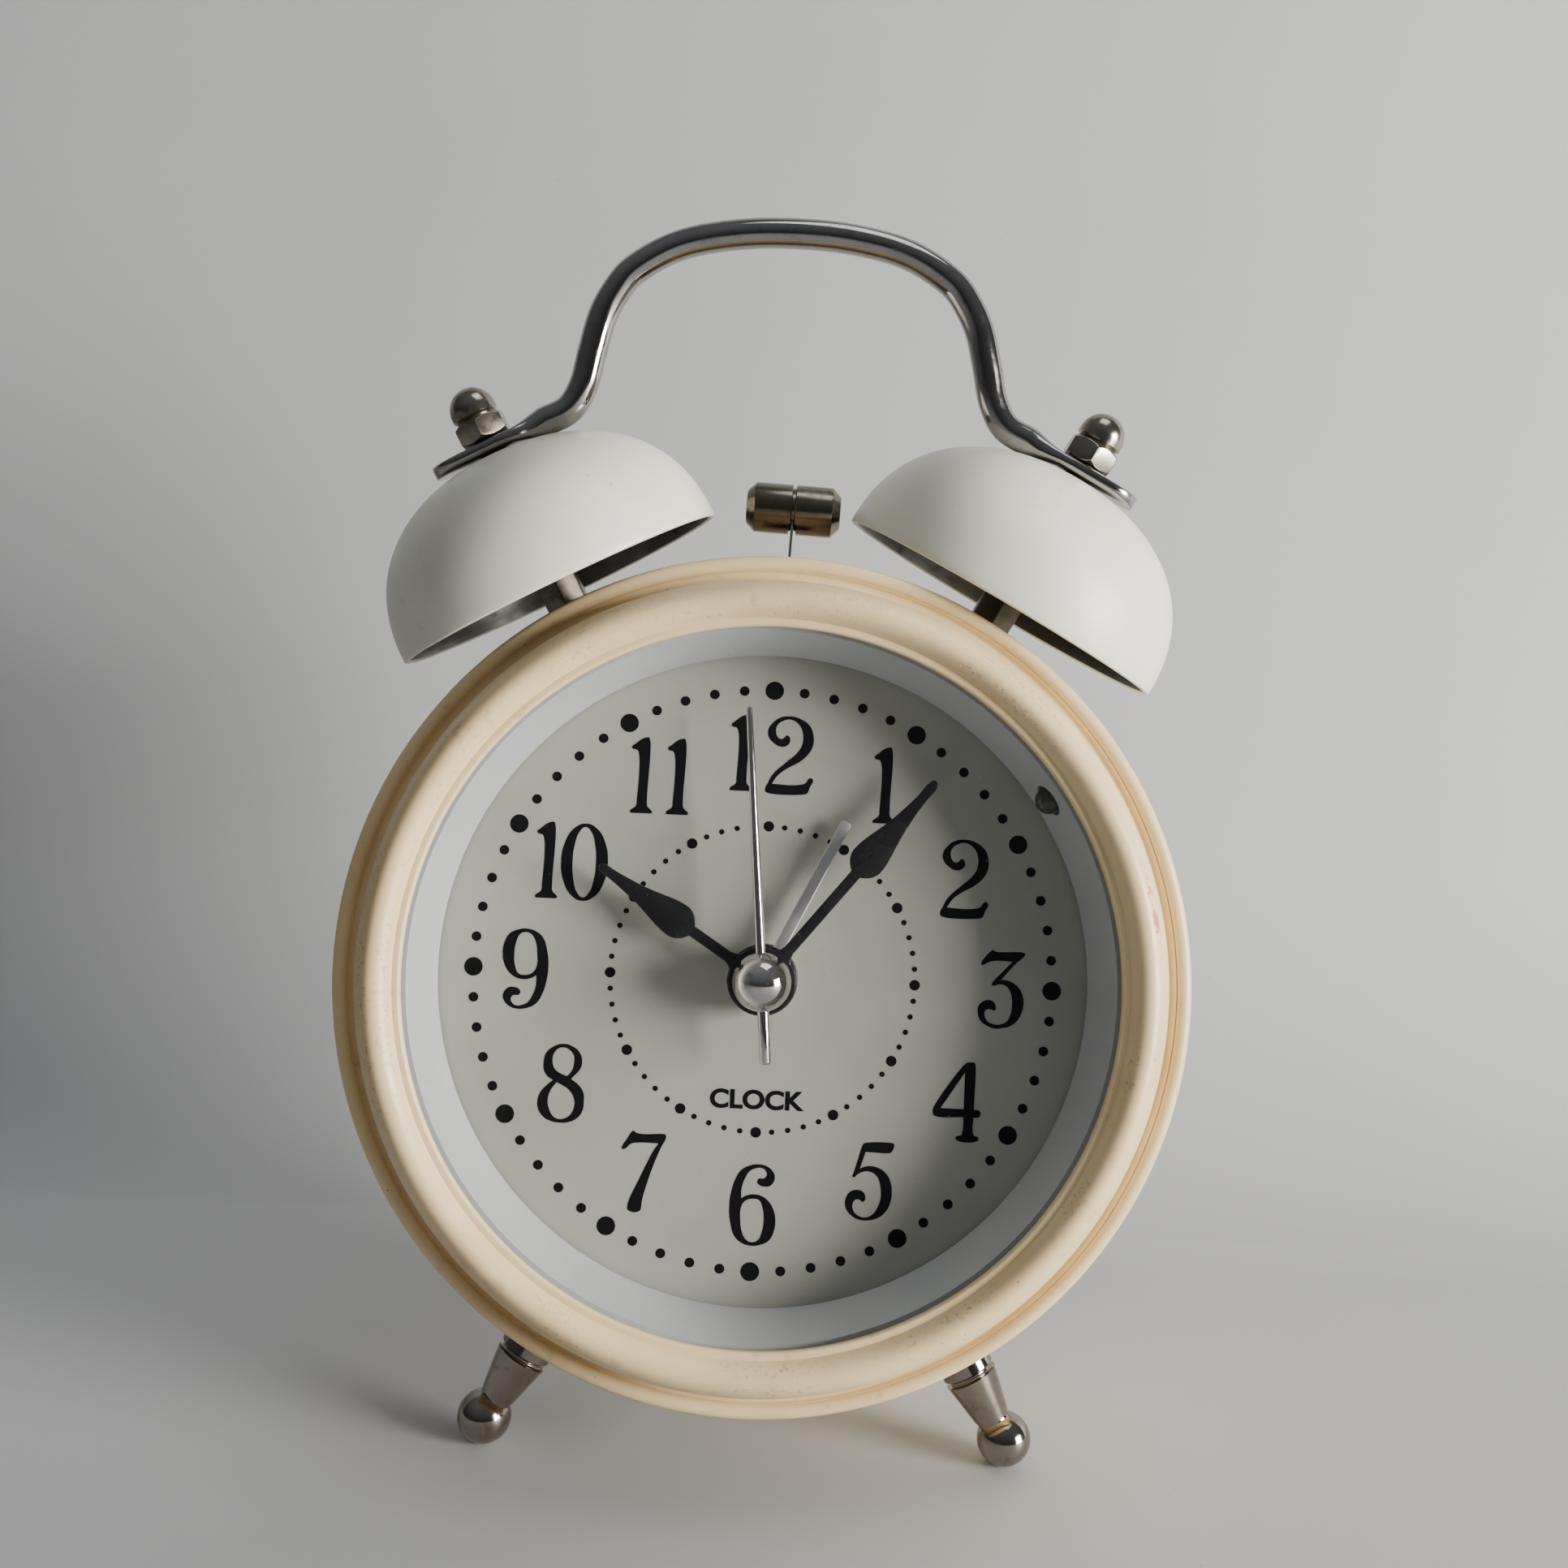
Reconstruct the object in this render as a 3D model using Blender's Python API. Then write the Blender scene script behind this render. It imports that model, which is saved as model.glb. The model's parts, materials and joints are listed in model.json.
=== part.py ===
"""A twin-bell quartz alarm clock, standing on two ball feet and a moulded heel.

Every piece is modelled in the dial frame: X to the right, Y up to twelve o'clock and Z out of the
dial towards the person who reads it, with the origin at the middle of the dial's face. The dial
frame then leans back on the feet and the heel. Lengths are metres and angles are degrees.
"""
import math

import bmesh
import bpy
from mathutils import Matrix, Vector

# ---- clearances -----------------------------------------------------------------------------
GAP = 0.0003             # between two pieces that touch
SLIP = 0.0004            # round a shaft that turns

# ---- case -----------------------------------------------------------------------------------
CAN_RADIUS = 0.054
CAN_WALL = 0.0009
CAN_FRONT = 0.0060
WORKS_ROOM = 0.0190      # from the dial's face back to the cell
FLANGE_RADIUS = CAN_RADIUS + 0.0035    # outer edge of the bezel
FLANGE_WIDTH = 0.0020
FLANGE_BACK = 0.0035
FLANGE_HEIGHT = 0.0049
GROOVE_WIDTH = 0.0016    # between the flange and the round band
BAND_RISE = 0.0068
BAND_WALL = 0.0013
LIP_RADIUS = CAN_RADIUS - 0.0069       # the opening in front of the glass
GLASS_THICK = 0.0012
GLASS_FACE = 0.0126
LIP_THICK = 0.0009       # of the bezel's edge in front of the glass
LIP_ROUND = 0.0003
BEZEL_CREST = GLASS_FACE + 0.0031      # highest point of the bezel's round band
DIAL_THICK = 0.0006
DIAL_OPENING = CAN_RADIUS - 0.0092     # the part of the dial that shows inside the reflector ring
REFLECTOR_WALL = 0.0013
REFLECTOR_STEP = 0.0012
COVER_THICK = 0.0020
COVER_SPIGOT = 0.0060
COVER_OVERHANG = 0.0005
SCREW_X = 0.0245
SCREW_Y = 0.0185
SCREW_RADIUS = 0.0012
SCREW_LENGTH = 0.0080

# ---- stand ----------------------------------------------------------------------------------
FOOT_ANGLE = 30.0        # either side of six o'clock
FOOT_REACH = CAN_RADIUS + 0.0193       # clock axis to the middle of a foot's ball
FOOT_BALL = 0.0038
FOOT_Z = -0.0080
FOOT_BASE = 0.00375
FOOT_NECK = 0.0024
FOOT_COLLAR = CAN_RADIUS + 0.0090      # clock axis to the groove under the foot's collar
FOOT_STUD = 0.0015
HEEL_DROP = CAN_RADIUS + 0.0076        # clock axis to the heel's resting edge
HEEL_WIDTH = 0.0300
HEEL_DEPTH = 0.0045
HEEL_TAPER = 0.0030
HEEL_ROOT = 0.0008       # how far the heel's root overlaps the case, seen from behind

# ---- bells ----------------------------------------------------------------------------------
BELL_TILT = 28.1         # away from twelve o'clock
BELL_LEAN = 9.6          # forward of the dial, with the posts and the handle
BELL_STANDOFF = 0.00968  # from the can to the middle of the rim, along the bell's axis
BELL_INSET = 0.0226      # how far the rim reaches inward past the clock's axis
BELL_Z = -0.0120
BELL_RADIUS = 0.0251
BELL_HEIGHT = 0.0213
BELL_WALL = 0.0009
POST_FLATS = 0.0060
STUD_RADIUS = 0.0019
NUT_FLATS = 0.0070       # M4 cap nut
NUT_DOME = 0.0034
NUT_HEX = 0.0032
NUT_HEIGHT = 0.0080
LOCK_FLATS = 2 * STUD_RADIUS + 0.0017
LOCK_THICK = 0.0022

# ---- handle ---------------------------------------------------------------------------------
WIRE_RADIUS = 0.00215
HANDLE_TOP = CAN_RADIUS + 0.0529       # clock axis to the middle of the wire at the top of the arch
TAB_THICK = 0.0019
TAB_WIDTH = 0.0090
TAB_END = 0.0092         # bell axis to the tab's round end
TAB_NECK = 0.0052        # bell axis to where the wire starts to flatten

# ---- striker --------------------------------------------------------------------------------
PIVOT_Y = 0.0330
PIVOT_RADIUS = 0.0012
HAMMER_LEAN = 2.4        # the striker rests a little to the right
HAMMER_Y = CAN_RADIUS + 0.0141
HAMMER_RADIUS = 0.00365
HAMMER_LENGTH = 0.0138
HAMMER_CHAMFER = 0.0013
HEAD_GROOVE = 0.0004     # the seam round the middle of the head
STRIP_THICK = 0.0004
STRIP_WIDTH = 0.0044
STRIP_SLOT = 0.0011
ARM_WIDTH = 0.0070
ARM_DEPTH = 0.0056
MOTOR_X = -0.0110
MOTOR_Y = 0.0404
MOTOR_RADIUS = 0.0060
MOTOR_LENGTH = 0.0090
MOTOR_BOSS = 0.0022
MOTOR_BOSS_HEIGHT = 0.0009
BRACKET_THICK = 0.0016
BRACKET_GAP = 0.0010     # between the arm and the bracket
CAM_SHAFT = 0.0008
CAM_RADIUS = 0.0026
CAM_OFFSET = 0.0008

# ---- movement -------------------------------------------------------------------------------
BOX_WIDTH = 0.0560
BOX_HEIGHT = 0.0440
BOX_FRONT = -0.0010
BOX_BACK = -0.0175
BOX_WALL = 0.0012
SECOND_SHAFT = 0.0006
MINUTE_SHAFT = 0.0016
HOUR_SHAFT = 0.0026
ALARM_SHAFT = 0.0036
WHEEL_THICK = 0.0009
TOOTH = 0.0005
SET_PINION = 0.0030
IDLER_WHEEL = 0.0090
IDLER_PINION = 0.0024
HOUR_WHEEL = 0.0093
ALARM_WHEEL = 0.0100
ALARM_PINION = 0.0025
SMALL_PINION = 0.0011
CENTRE_WHEEL = 0.0072
THIRD_WHEEL = 0.0072
SECONDS_WHEEL = 0.0068
RELAY_WHEEL = 0.0056
IDLER_BEARING = 290.0
TIME_KNOB_BEARING = 245.0
ALARM_KNOB_BEARING = 115.0
THIRD_BEARING = 170.0
RELAY_BEARING = 15.0
ROTOR_BEARING = 60.0
ROTOR_RADIUS = 0.0022
PIVOT = 0.0005
LAYER = 0.0014           # from one wheel's plane to the next
STATOR_THICK = 0.0008

# ---- hands ----------------------------------------------------------------------------------
HAND_THICK = 0.0007
ALARM_HAND_LENGTH = 0.0246
HOUR_HAND_LENGTH = 0.0272
MINUTE_HAND_LENGTH = 0.0360
SECOND_HAND_LENGTH = 0.0372
SECOND_HAND_TAIL = 0.0111
SECOND_HAND_RADIUS = 0.0006
CAP_RADIUS = 0.0040
ALARM_HAND_Z = 0.0020
HOUR_HAND_Z = 0.0034
MINUTE_HAND_Z = 0.0048
SECOND_HAND_Z = 0.0068
ALARM_ANGLE = 25.9
HOUR_ANGLE = 302.7
MINUTE_ANGLE = 38.9
SECOND_ANGLE = 354.9

# ---- lamp -----------------------------------------------------------------------------------
LAMP_ANGLE = 55.4
LAMP_Z = 0.0060
LAMP_RADIUS = 0.0019
LAMP_HOLE = 0.0023

# ---- back of the clock ----------------------------------------------------------------------
CELL_RADIUS = 0.0070
CELL_LENGTH = 0.0490
BAY_Y = -0.0285
BAY_WALL = 0.0012
DOOR_THICK = 0.0014
DOOR_LAP = 0.0012
KNOB_RADIUS = 0.0055
KNOB_HEIGHT = 0.0050
STEM_RADIUS = 0.0012
BUTTON_RADIUS = 0.0030
BUTTON_TRAVEL = 0.0015
BUTTON_X = 0.0280
BUTTON_Y = 0.0080
SWITCH_Y = 0.0300
SWITCH_TRAVEL = 0.0050

# ---- facets in a full turn ------------------------------------------------------------------
ROUND = 48               # the case and what sits in it
BELL_ROUND = 32

# ---- sizes that follow from the ones above ---------------------------------------------------
CAN_INNER = CAN_RADIUS - CAN_WALL
CAN_BACK = -WORKS_ROOM - 2 * CELL_RADIUS
COVER_FACE = CAN_BACK - GAP - COVER_THICK
BEZEL_BORE = CAN_RADIUS + GAP
STACK_RADIUS = CAN_INNER - 0.0019      # glass, reflector ring and dial share this edge
WALL_TOP = BELL_HEIGHT + GAP           # the handle's tab lies on the bell, along the bell axis
TAB_TOP = WALL_TOP + TAB_THICK
BELL_DIRECTION = Vector((math.sin(math.radians(BELL_TILT)), math.cos(math.radians(BELL_TILT)), 0))
RIM_ALONG = CAN_RADIUS + BELL_STANDOFF
RIM_ACROSS = BELL_RADIUS - BELL_INSET
BELL_RIM_X = BELL_DIRECTION.x * RIM_ALONG + BELL_DIRECTION.y * RIM_ACROSS
BELL_RIM_Y = BELL_DIRECTION.y * RIM_ALONG - BELL_DIRECTION.x * RIM_ACROSS


def clear_scene():
    """Remove whatever the new file holds."""
    for item in list(bpy.data.objects):
        bpy.data.objects.remove(item, do_unlink=True)


def finish(name, colour, roughness, metallic=0.0, alpha=1.0):
    """Make a Principled BSDF material."""
    material = bpy.data.materials.new(name)
    material.use_nodes = True
    shader = material.node_tree.nodes["Principled BSDF"]
    shader.inputs["Base Color"].default_value = (*colour, 1.0)
    shader.inputs["Roughness"].default_value = roughness
    shader.inputs["Metallic"].default_value = metallic
    shader.inputs["Alpha"].default_value = alpha
    return material


def add(name, mesh, material, smooth=40.0):
    """Put a bmesh in the scene as one object in the dial frame."""
    bmesh.ops.recalc_face_normals(mesh, faces=mesh.faces)
    data = bpy.data.meshes.new(name)
    mesh.to_mesh(data)
    mesh.free()
    data.shade_smooth()
    data.set_sharp_from_angle(angle=math.radians(smooth))
    if material:
        data.materials.append(material)
    item = bpy.data.objects.new(name, data)
    bpy.context.scene.collection.objects.link(item)
    item.parent = bpy.data.objects["dial_frame"]
    return item


def turned(name, profile, material, segments=32):
    """Turn a profile of (radius, z) points about Z.

    A profile that starts and ends on the axis makes a solid, and any other one is closed into a
    ring.
    """
    mesh = bmesh.new()
    points = [mesh.verts.new((radius, 0, z)) for radius, z in profile]
    edges = [mesh.edges.new(pair) for pair in zip(points, points[1:])]
    if profile[0][0] > 0:
        edges.append(mesh.edges.new((points[-1], points[0])))
    bmesh.ops.spin(mesh, geom=points + edges, axis=(0, 0, 1), cent=(0, 0, 0), dvec=(0, 0, 0),
                   angle=math.tau, steps=segments, use_merge=True)
    bmesh.ops.remove_doubles(mesh, verts=mesh.verts, dist=1e-7)
    return add(name, mesh, material)


def rod(name, radius, low, high, material, segments=16):
    """A plain round bar along Z."""
    return turned(name, [(0, low), (radius, low), (radius, high), (0, high)], material, segments)


def tube(name, outer, inner, low, high, material, segments=32):
    """A plain round tube along Z."""
    profile = [(inner, low), (outer, low), (outer, high), (inner, high)]
    return turned(name, profile, material, segments)


def slab(name, outline, low, high, material):
    """Extrude an outline of (x, y) points along Z."""
    mesh = bmesh.new()
    face = mesh.faces.new([mesh.verts.new((x, y, low)) for x, y in outline])
    grown = bmesh.ops.extrude_face_region(mesh, geom=[face])
    raised = [part for part in grown["geom"] if isinstance(part, bmesh.types.BMVert)]
    bmesh.ops.translate(mesh, verts=raised, vec=(0, 0, high - low))
    return add(name, mesh, material)


def block(name, low, high, material, bevel=0.0):
    """A box between two corners, with its edges bevelled."""
    mesh = bmesh.new()
    bmesh.ops.create_cube(mesh, size=1.0)
    for vert in mesh.verts:
        vert.co = Vector([a + (b - a) * (c + 0.5) for a, b, c in zip(low, high, vert.co)])
    if bevel:
        bmesh.ops.bevel(mesh, geom=mesh.edges[:], offset=bevel, segments=1, profile=0.5,
                        affect='EDGES')
    return add(name, mesh, material)


def arc(radius, first, last, steps, centre=(0.0, 0.0)):
    """Points on an arc, with angles in degrees anticlockwise from +X."""
    points = []
    for step in range(steps + 1):
        angle = math.radians(first + (last - first) * step / steps)
        points.append((centre[0] + radius * math.cos(angle), centre[1] + radius * math.sin(angle)))
    return points


def hexagon(flats):
    """Corners of a hexagon from its width across flats."""
    return arc(flats / math.sqrt(3), 0, 300, 5)


def boolean(item, other, operation):
    """Cut, join or intersect with another object, which becomes a hidden guide."""
    modifier = item.modifiers.new(operation.lower() + "_" + other.name, 'BOOLEAN')
    modifier.operation = operation
    modifier.object = other
    modifier.solver = 'EXACT'
    other.hide_render = True
    other.display_type = 'WIRE'


def cut(item, *cutters):
    """Cut other objects out of this one."""
    for cutter in cutters:
        boolean(item, cutter, 'DIFFERENCE')


def join(item, *others):
    """Join other shapes to this one."""
    for other in others:
        boolean(item, other, 'UNION')


def place(item, x=0.0, y=0.0, z=0.0, turn=(0.0, 0.0, 0.0)):
    """Set an object's place and its turn, in degrees, in the dial frame."""
    item.location = (x, y, z)
    item.rotation_euler = [math.radians(angle) for angle in turn]
    return item


def clock_point(angle, radius):
    """The point at an angle clockwise from twelve o'clock, and at a radius."""
    return radius * math.sin(math.radians(angle)), radius * math.cos(math.radians(angle))


def bell_frame():
    """The lean of the bells, the posts and the handle, about a line through the bells' rims."""
    line = Matrix.Translation((0, BELL_RIM_Y, BELL_Z))
    return line @ Matrix.Rotation(math.radians(BELL_LEAN), 4, 'X') @ line.inverted()


def along_bell(item, side, distance):
    """Stand an object that was made along Z on a bell's axis, at a distance above the rim."""
    spot = (side * (BELL_RIM_X + BELL_DIRECTION.x * distance),
            BELL_RIM_Y + BELL_DIRECTION.y * distance, BELL_Z)
    turn = (Matrix.Rotation(math.radians(-side * BELL_TILT), 4, 'Z')
            @ Matrix.Rotation(math.radians(-90), 4, 'X'))
    item.matrix_basis = bell_frame() @ Matrix.Translation(spot) @ turn
    return item


def lean_room(flats):
    """How far the edge of a leaning hexagon reaches past its middle, along its axis."""
    return flats / math.sqrt(3) * math.sin(math.radians(BELL_LEAN))


def bell_axis_at(radius):
    """How far along a bell's axis, from the middle of its rim, it meets a circle on the clock axis."""
    rim = Vector((BELL_RIM_X, BELL_RIM_Y, 0))
    along = rim.dot(BELL_DIRECTION)
    return -along + math.sqrt(along ** 2 - rim.length_squared + radius ** 2)


# ---- case -----------------------------------------------------------------------------------

def make_bezel(paint):
    """The painted ring: a thin outer flange, a groove and a broad round band down to the lip."""
    flange = FLANGE_RADIUS - FLANGE_WIDTH
    flange_top = FLANGE_BACK + FLANGE_HEIGHT
    band_outer = flange - GROOVE_WIDTH
    band_foot = BEZEL_CREST - BAND_RISE
    middle = (band_outer + LIP_RADIUS) / 2
    half = (band_outer - LIP_RADIUS) / 2
    seat = GLASS_FACE + GAP
    lip_top = seat + LIP_THICK
    last = 180 - math.degrees(math.asin((lip_top - band_foot) / BAND_RISE))
    band = [(middle + half * x, band_foot + BAND_RISE * z) for x, z in arc(1.0, 0, last, 7)]
    profile = [(BEZEL_BORE, FLANGE_BACK), (FLANGE_RADIUS - 0.0005, FLANGE_BACK),
               (FLANGE_RADIUS, FLANGE_BACK + 0.0006), (FLANGE_RADIUS, flange_top - 0.0009),
               (FLANGE_RADIUS - 0.0007, flange_top), (flange, flange_top - 0.0003),
               (flange - 0.0007, flange_top - 0.0008)]
    profile += band
    inner = band_outer - BAND_WALL
    shoulder = CAN_FRONT + GAP
    profile += [(LIP_RADIUS, lip_top - LIP_ROUND), (LIP_RADIUS, seat), (inner - 0.0009, seat),
                (inner, seat - 0.0036), (inner, shoulder), (BEZEL_BORE, shoulder)]
    return turned("bezel_ring", profile, paint, ROUND)


def make_can(paint):
    """The round shell, open at both ends, with holes for the posts, the feet and the striker."""
    can = tube("case_can", CAN_RADIUS, CAN_INNER, CAN_BACK, CAN_FRONT, paint, ROUND)
    reach = 0.006
    for side, word in ((-1, "left"), (1, "right")):
        drill = rod("cut_post_" + word, STUD_RADIUS + GAP, -reach, reach, None, 12)
        along_bell(drill, side, bell_axis_at(CAN_RADIUS))
        drill_foot = rod("cut_foot_" + word, FOOT_STUD + GAP, -reach, reach, None, 12)
        x, y = clock_point(180 - side * FOOT_ANGLE, CAN_RADIUS)
        place(drill_foot, x, y, FOOT_Z, (-90.0, 0.0, -180 + side * FOOT_ANGLE))
        cut(can, drill, drill_foot)
    slot = block("cut_striker", (-0.0050, CAN_INNER - reach, BELL_Z - STRIP_WIDTH / 2 - 0.001),
                 (0.0050, CAN_RADIUS + reach, BELL_Z + STRIP_WIDTH / 2 + 0.001), None)
    cut(can, slot)
    return can


def make_glass(glass):
    """The flat front glass, which lies on the reflector ring and under the lip."""
    return rod("front_glass", STACK_RADIUS, GLASS_FACE - GLASS_THICK, GLASS_FACE, glass, ROUND)


def make_reflector(plastic):
    """The slightly conical ring between the dial and the glass, with a hole for the lamp."""
    top = GLASS_FACE - GLASS_THICK - GAP
    low = GAP
    upper = LIP_RADIUS - 0.0002
    step = top - REFLECTOR_STEP
    profile = [(upper, top), (STACK_RADIUS, top), (STACK_RADIUS, step),
               (upper + REFLECTOR_WALL, step), (DIAL_OPENING + REFLECTOR_WALL, low),
               (DIAL_OPENING, low)]
    ring = turned("reflector_ring", profile, plastic, ROUND)
    hole = rod("cut_lamp", LAMP_HOLE, -0.004, 0.004, None, 12)
    x, y = clock_point(LAMP_ANGLE, LIP_RADIUS)
    place(hole, x, y, LAMP_Z, (-90.0, 0.0, -LAMP_ANGLE))
    cut(ring, hole)
    return ring


def make_dial(paper):
    """The dial plate, with a hole for the pipes."""
    return tube("dial_plate", STACK_RADIUS, ALARM_SHAFT + 0.0012, -DIAL_THICK, 0.0, paper, ROUND)


def make_lamp(lens, plastic):
    """The lamp that pokes through the reflector ring, and the clip that holds it behind the ring."""
    x, y = clock_point(LAMP_ANGLE, LIP_RADIUS)
    turn = (-90.0, 0.0, -LAMP_ANGLE)
    dome = [(LAMP_RADIUS * math.cos(math.radians(a)), -0.0012 - LAMP_RADIUS * math.sin(math.radians(a)))
            for a in (0, 30, 60, 90)]
    dome[-1] = (0.0, dome[-1][1])
    lamp = turned("lamp", [(0.0, 0.0026), (LAMP_RADIUS, 0.0026)] + dome, lens, 16)
    place(lamp, x, y, LAMP_Z, turn)
    clip = block("lamp_clip", (-0.0026, -0.0026, 0.0026 + GAP), (0.0026, 0.0026, 0.0038), plastic)
    place(clip, x, y, LAMP_Z, turn)


def make_rear_cover(plastic):
    """The plastic back: a plate with a spigot in the can, a heel below and a bay for the cell."""
    edge = CAN_RADIUS + COVER_OVERHANG
    plate_top = CAN_BACK - GAP
    spigot = CAN_INNER - GAP
    profile = [(0, COVER_FACE), (edge - 0.0006, COVER_FACE), (edge, COVER_FACE + 0.0006),
               (edge, plate_top), (spigot, plate_top), (spigot, plate_top + COVER_SPIGOT),
               (spigot - 0.0016, plate_top + COVER_SPIGOT), (spigot - 0.0016, plate_top),
               (0, plate_top)]
    cover = turned("rear_cover", profile, plastic, ROUND)
    heel_top = HEEL_ROOT - CAN_RADIUS
    heel_low = -HEEL_DROP - HEEL_DEPTH
    heel = slab("heel", [(-HEEL_WIDTH / 2, heel_top), (-HEEL_WIDTH / 2 + HEEL_TAPER, heel_low),
                         (HEEL_WIDTH / 2 - HEEL_TAPER, heel_low), (HEEL_WIDTH / 2, heel_top)],
                plate_top - HEEL_DEPTH, plate_top - 0.0002, plastic)
    join(cover, heel)
    ground = block("cut_sole", (-HEEL_WIDTH, -2 * HEEL_DEPTH, -2 * HEEL_DEPTH),
                   (HEEL_WIDTH, 0, 2 * HEEL_DEPTH), None)
    cut(cover, place(ground, 0.0, -HEEL_DROP, heel_middle(), (math.degrees(lean_angle()), 0.0, 0.0)))
    half_x, half_y = bay_half()
    bay_top = bay_floor() + BAY_WALL
    walls = block("bay_walls", (-half_x - BAY_WALL, BAY_Y - half_y - BAY_WALL, plate_top - 0.0005),
                  (half_x + BAY_WALL, BAY_Y + half_y + BAY_WALL, bay_top), plastic)
    join(cover, walls)
    cut(cover, block("cut_bay", (-half_x, BAY_Y - half_y, COVER_FACE - 0.002),
                     (half_x, BAY_Y + half_y, bay_floor()), None))
    for word, (x, y) in knob_places().items():
        cut(cover, place(rod("cut_" + word, STEM_RADIUS + SLIP, -0.005, 0.005, None, 12), x, y, COVER_FACE))
    cut(cover, place(rod("cut_button", BUTTON_RADIUS + SLIP, -0.005, 0.005, None, 16),
                     BUTTON_X, BUTTON_Y, COVER_FACE))
    travel = SWITCH_TRAVEL / 2
    cut(cover, block("cut_switch", (-0.0016 - travel, SWITCH_Y - 0.0016, COVER_FACE - 0.005),
                     (0.0016 + travel, SWITCH_Y + 0.0016, COVER_FACE + 0.005), None))
    for side, word in ((-1, "left"), (1, "right")):
        drill = rod("cut_screw_" + word, SCREW_RADIUS + GAP, -0.005, 0.005, None, 12)
        cut(cover, place(drill, side * SCREW_X, SCREW_Y, COVER_FACE))
    return cover


def heel_middle():
    """The middle of the heel's sole, counted along the clock's axis."""
    return CAN_BACK - GAP - HEEL_DEPTH / 2


def bay_half():
    """Half the length and half the width of the space for the cell."""
    return CELL_LENGTH / 2 + 0.0032, CELL_RADIUS + 0.0008


def bay_floor():
    """The inner face of the bay, in front of the cell."""
    return COVER_FACE + 2 * CELL_RADIUS + 2 * GAP


def knob_places():
    """Where the two setting stems cross the back, which follows from the wheels they turn."""
    idler = idler_place()
    x, y = clock_point(TIME_KNOB_BEARING, IDLER_WHEEL + SET_PINION + GAP)
    return {"time_set_knob": (idler[0] + x, idler[1] + y),
            "alarm_set_knob": clock_point(ALARM_KNOB_BEARING, ALARM_WHEEL + ALARM_PINION + GAP)}


def make_screws(steel):
    """Two screws hold the back to the pillars of the movement's lid."""
    head = 2 * SCREW_RADIUS
    profile = [(0, -0.0018), (head, -0.0014), (head, -GAP), (SCREW_RADIUS, -GAP),
               (SCREW_RADIUS, SCREW_LENGTH), (0, SCREW_LENGTH)]
    for side, word in ((-1, "left"), (1, "right")):
        place(turned("cover_screw_" + word, profile, steel, 12), side * SCREW_X, SCREW_Y, COVER_FACE)


# ---- stand ----------------------------------------------------------------------------------

def make_feet(chrome, steel):
    """Turned feet with a collar, a groove, a taper and a ball, each held by a nut in the can."""
    base = -(FOOT_REACH - CAN_RADIUS) + GAP
    collar = -(FOOT_REACH - FOOT_COLLAR)
    neck = -math.sqrt(FOOT_BALL ** 2 - FOOT_NECK ** 2)
    ball = [(FOOT_BALL * math.sin(math.radians(a)), -FOOT_BALL * math.cos(math.radians(a)))
            for a in range(60, 181, 20)]
    ball[-1] = (0.0, FOOT_BALL)
    thread = base - CAN_WALL - GAP - LOCK_THICK - 0.0012
    profile = [(0, thread), (FOOT_STUD, thread), (FOOT_STUD, base), (FOOT_BASE, base),
               (FOOT_BASE, collar - 0.0006), (FOOT_BASE - 0.0006, collar - 0.0003),
               (FOOT_BASE - 0.0006, collar + 0.0003), (FOOT_BASE - 0.0001, collar + 0.0006),
               (FOOT_NECK, neck - 0.0004)] + ball
    for side, word in ((-1, "left"), (1, "right")):
        x, y = clock_point(180 - side * FOOT_ANGLE, FOOT_REACH)
        turn = (-90.0, 0.0, -180 + side * FOOT_ANGLE)
        place(turned("foot_" + word, profile, chrome, 16), x, y, FOOT_Z, turn)
        nut = slab("foot_nut_" + word, hexagon(LOCK_FLATS), 0.0, LOCK_THICK, steel)
        cut(nut, place(rod("cut_foot_nut_" + word, FOOT_STUD + GAP, -0.001, LOCK_THICK + 0.001, None, 12)))
        inside = base - CAN_WALL - 2 * GAP - LOCK_THICK - 0.0003
        x, y = clock_point(180 - side * FOOT_ANGLE, FOOT_REACH + inside)
        place(nut, x, y, FOOT_Z, turn)
        guide = bpy.data.objects["cut_foot_nut_" + word]
        guide.parent = nut


# ---- bells and handle -------------------------------------------------------------------------

def bell_profile():
    """A slightly flattened dome of even wall, with a hole at the top for the stud."""
    bore = STUD_RADIUS + GAP
    power = 2.25

    def dome(radius, height, steps):
        points = []
        for step in range(steps + 1):
            angle = math.radians(90 * step / steps)
            share = math.cos(angle) ** (2 / power), math.sin(angle) ** (2 / power)
            points.append((max(radius * share[0], bore), height * share[1]))
        return points

    outer = dome(BELL_RADIUS, BELL_HEIGHT, 7)
    inner = dome(BELL_RADIUS - BELL_WALL, BELL_HEIGHT - BELL_WALL, 7)
    return outer + inner[::-1]


def make_bells(paint):
    """Two bells, tilted apart, with their rims facing the striker."""
    for side, word in ((-1, "left"), (1, "right")):
        along_bell(turned("bell_" + word, bell_profile(), paint, BELL_ROUND), side, 0.0)


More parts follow.
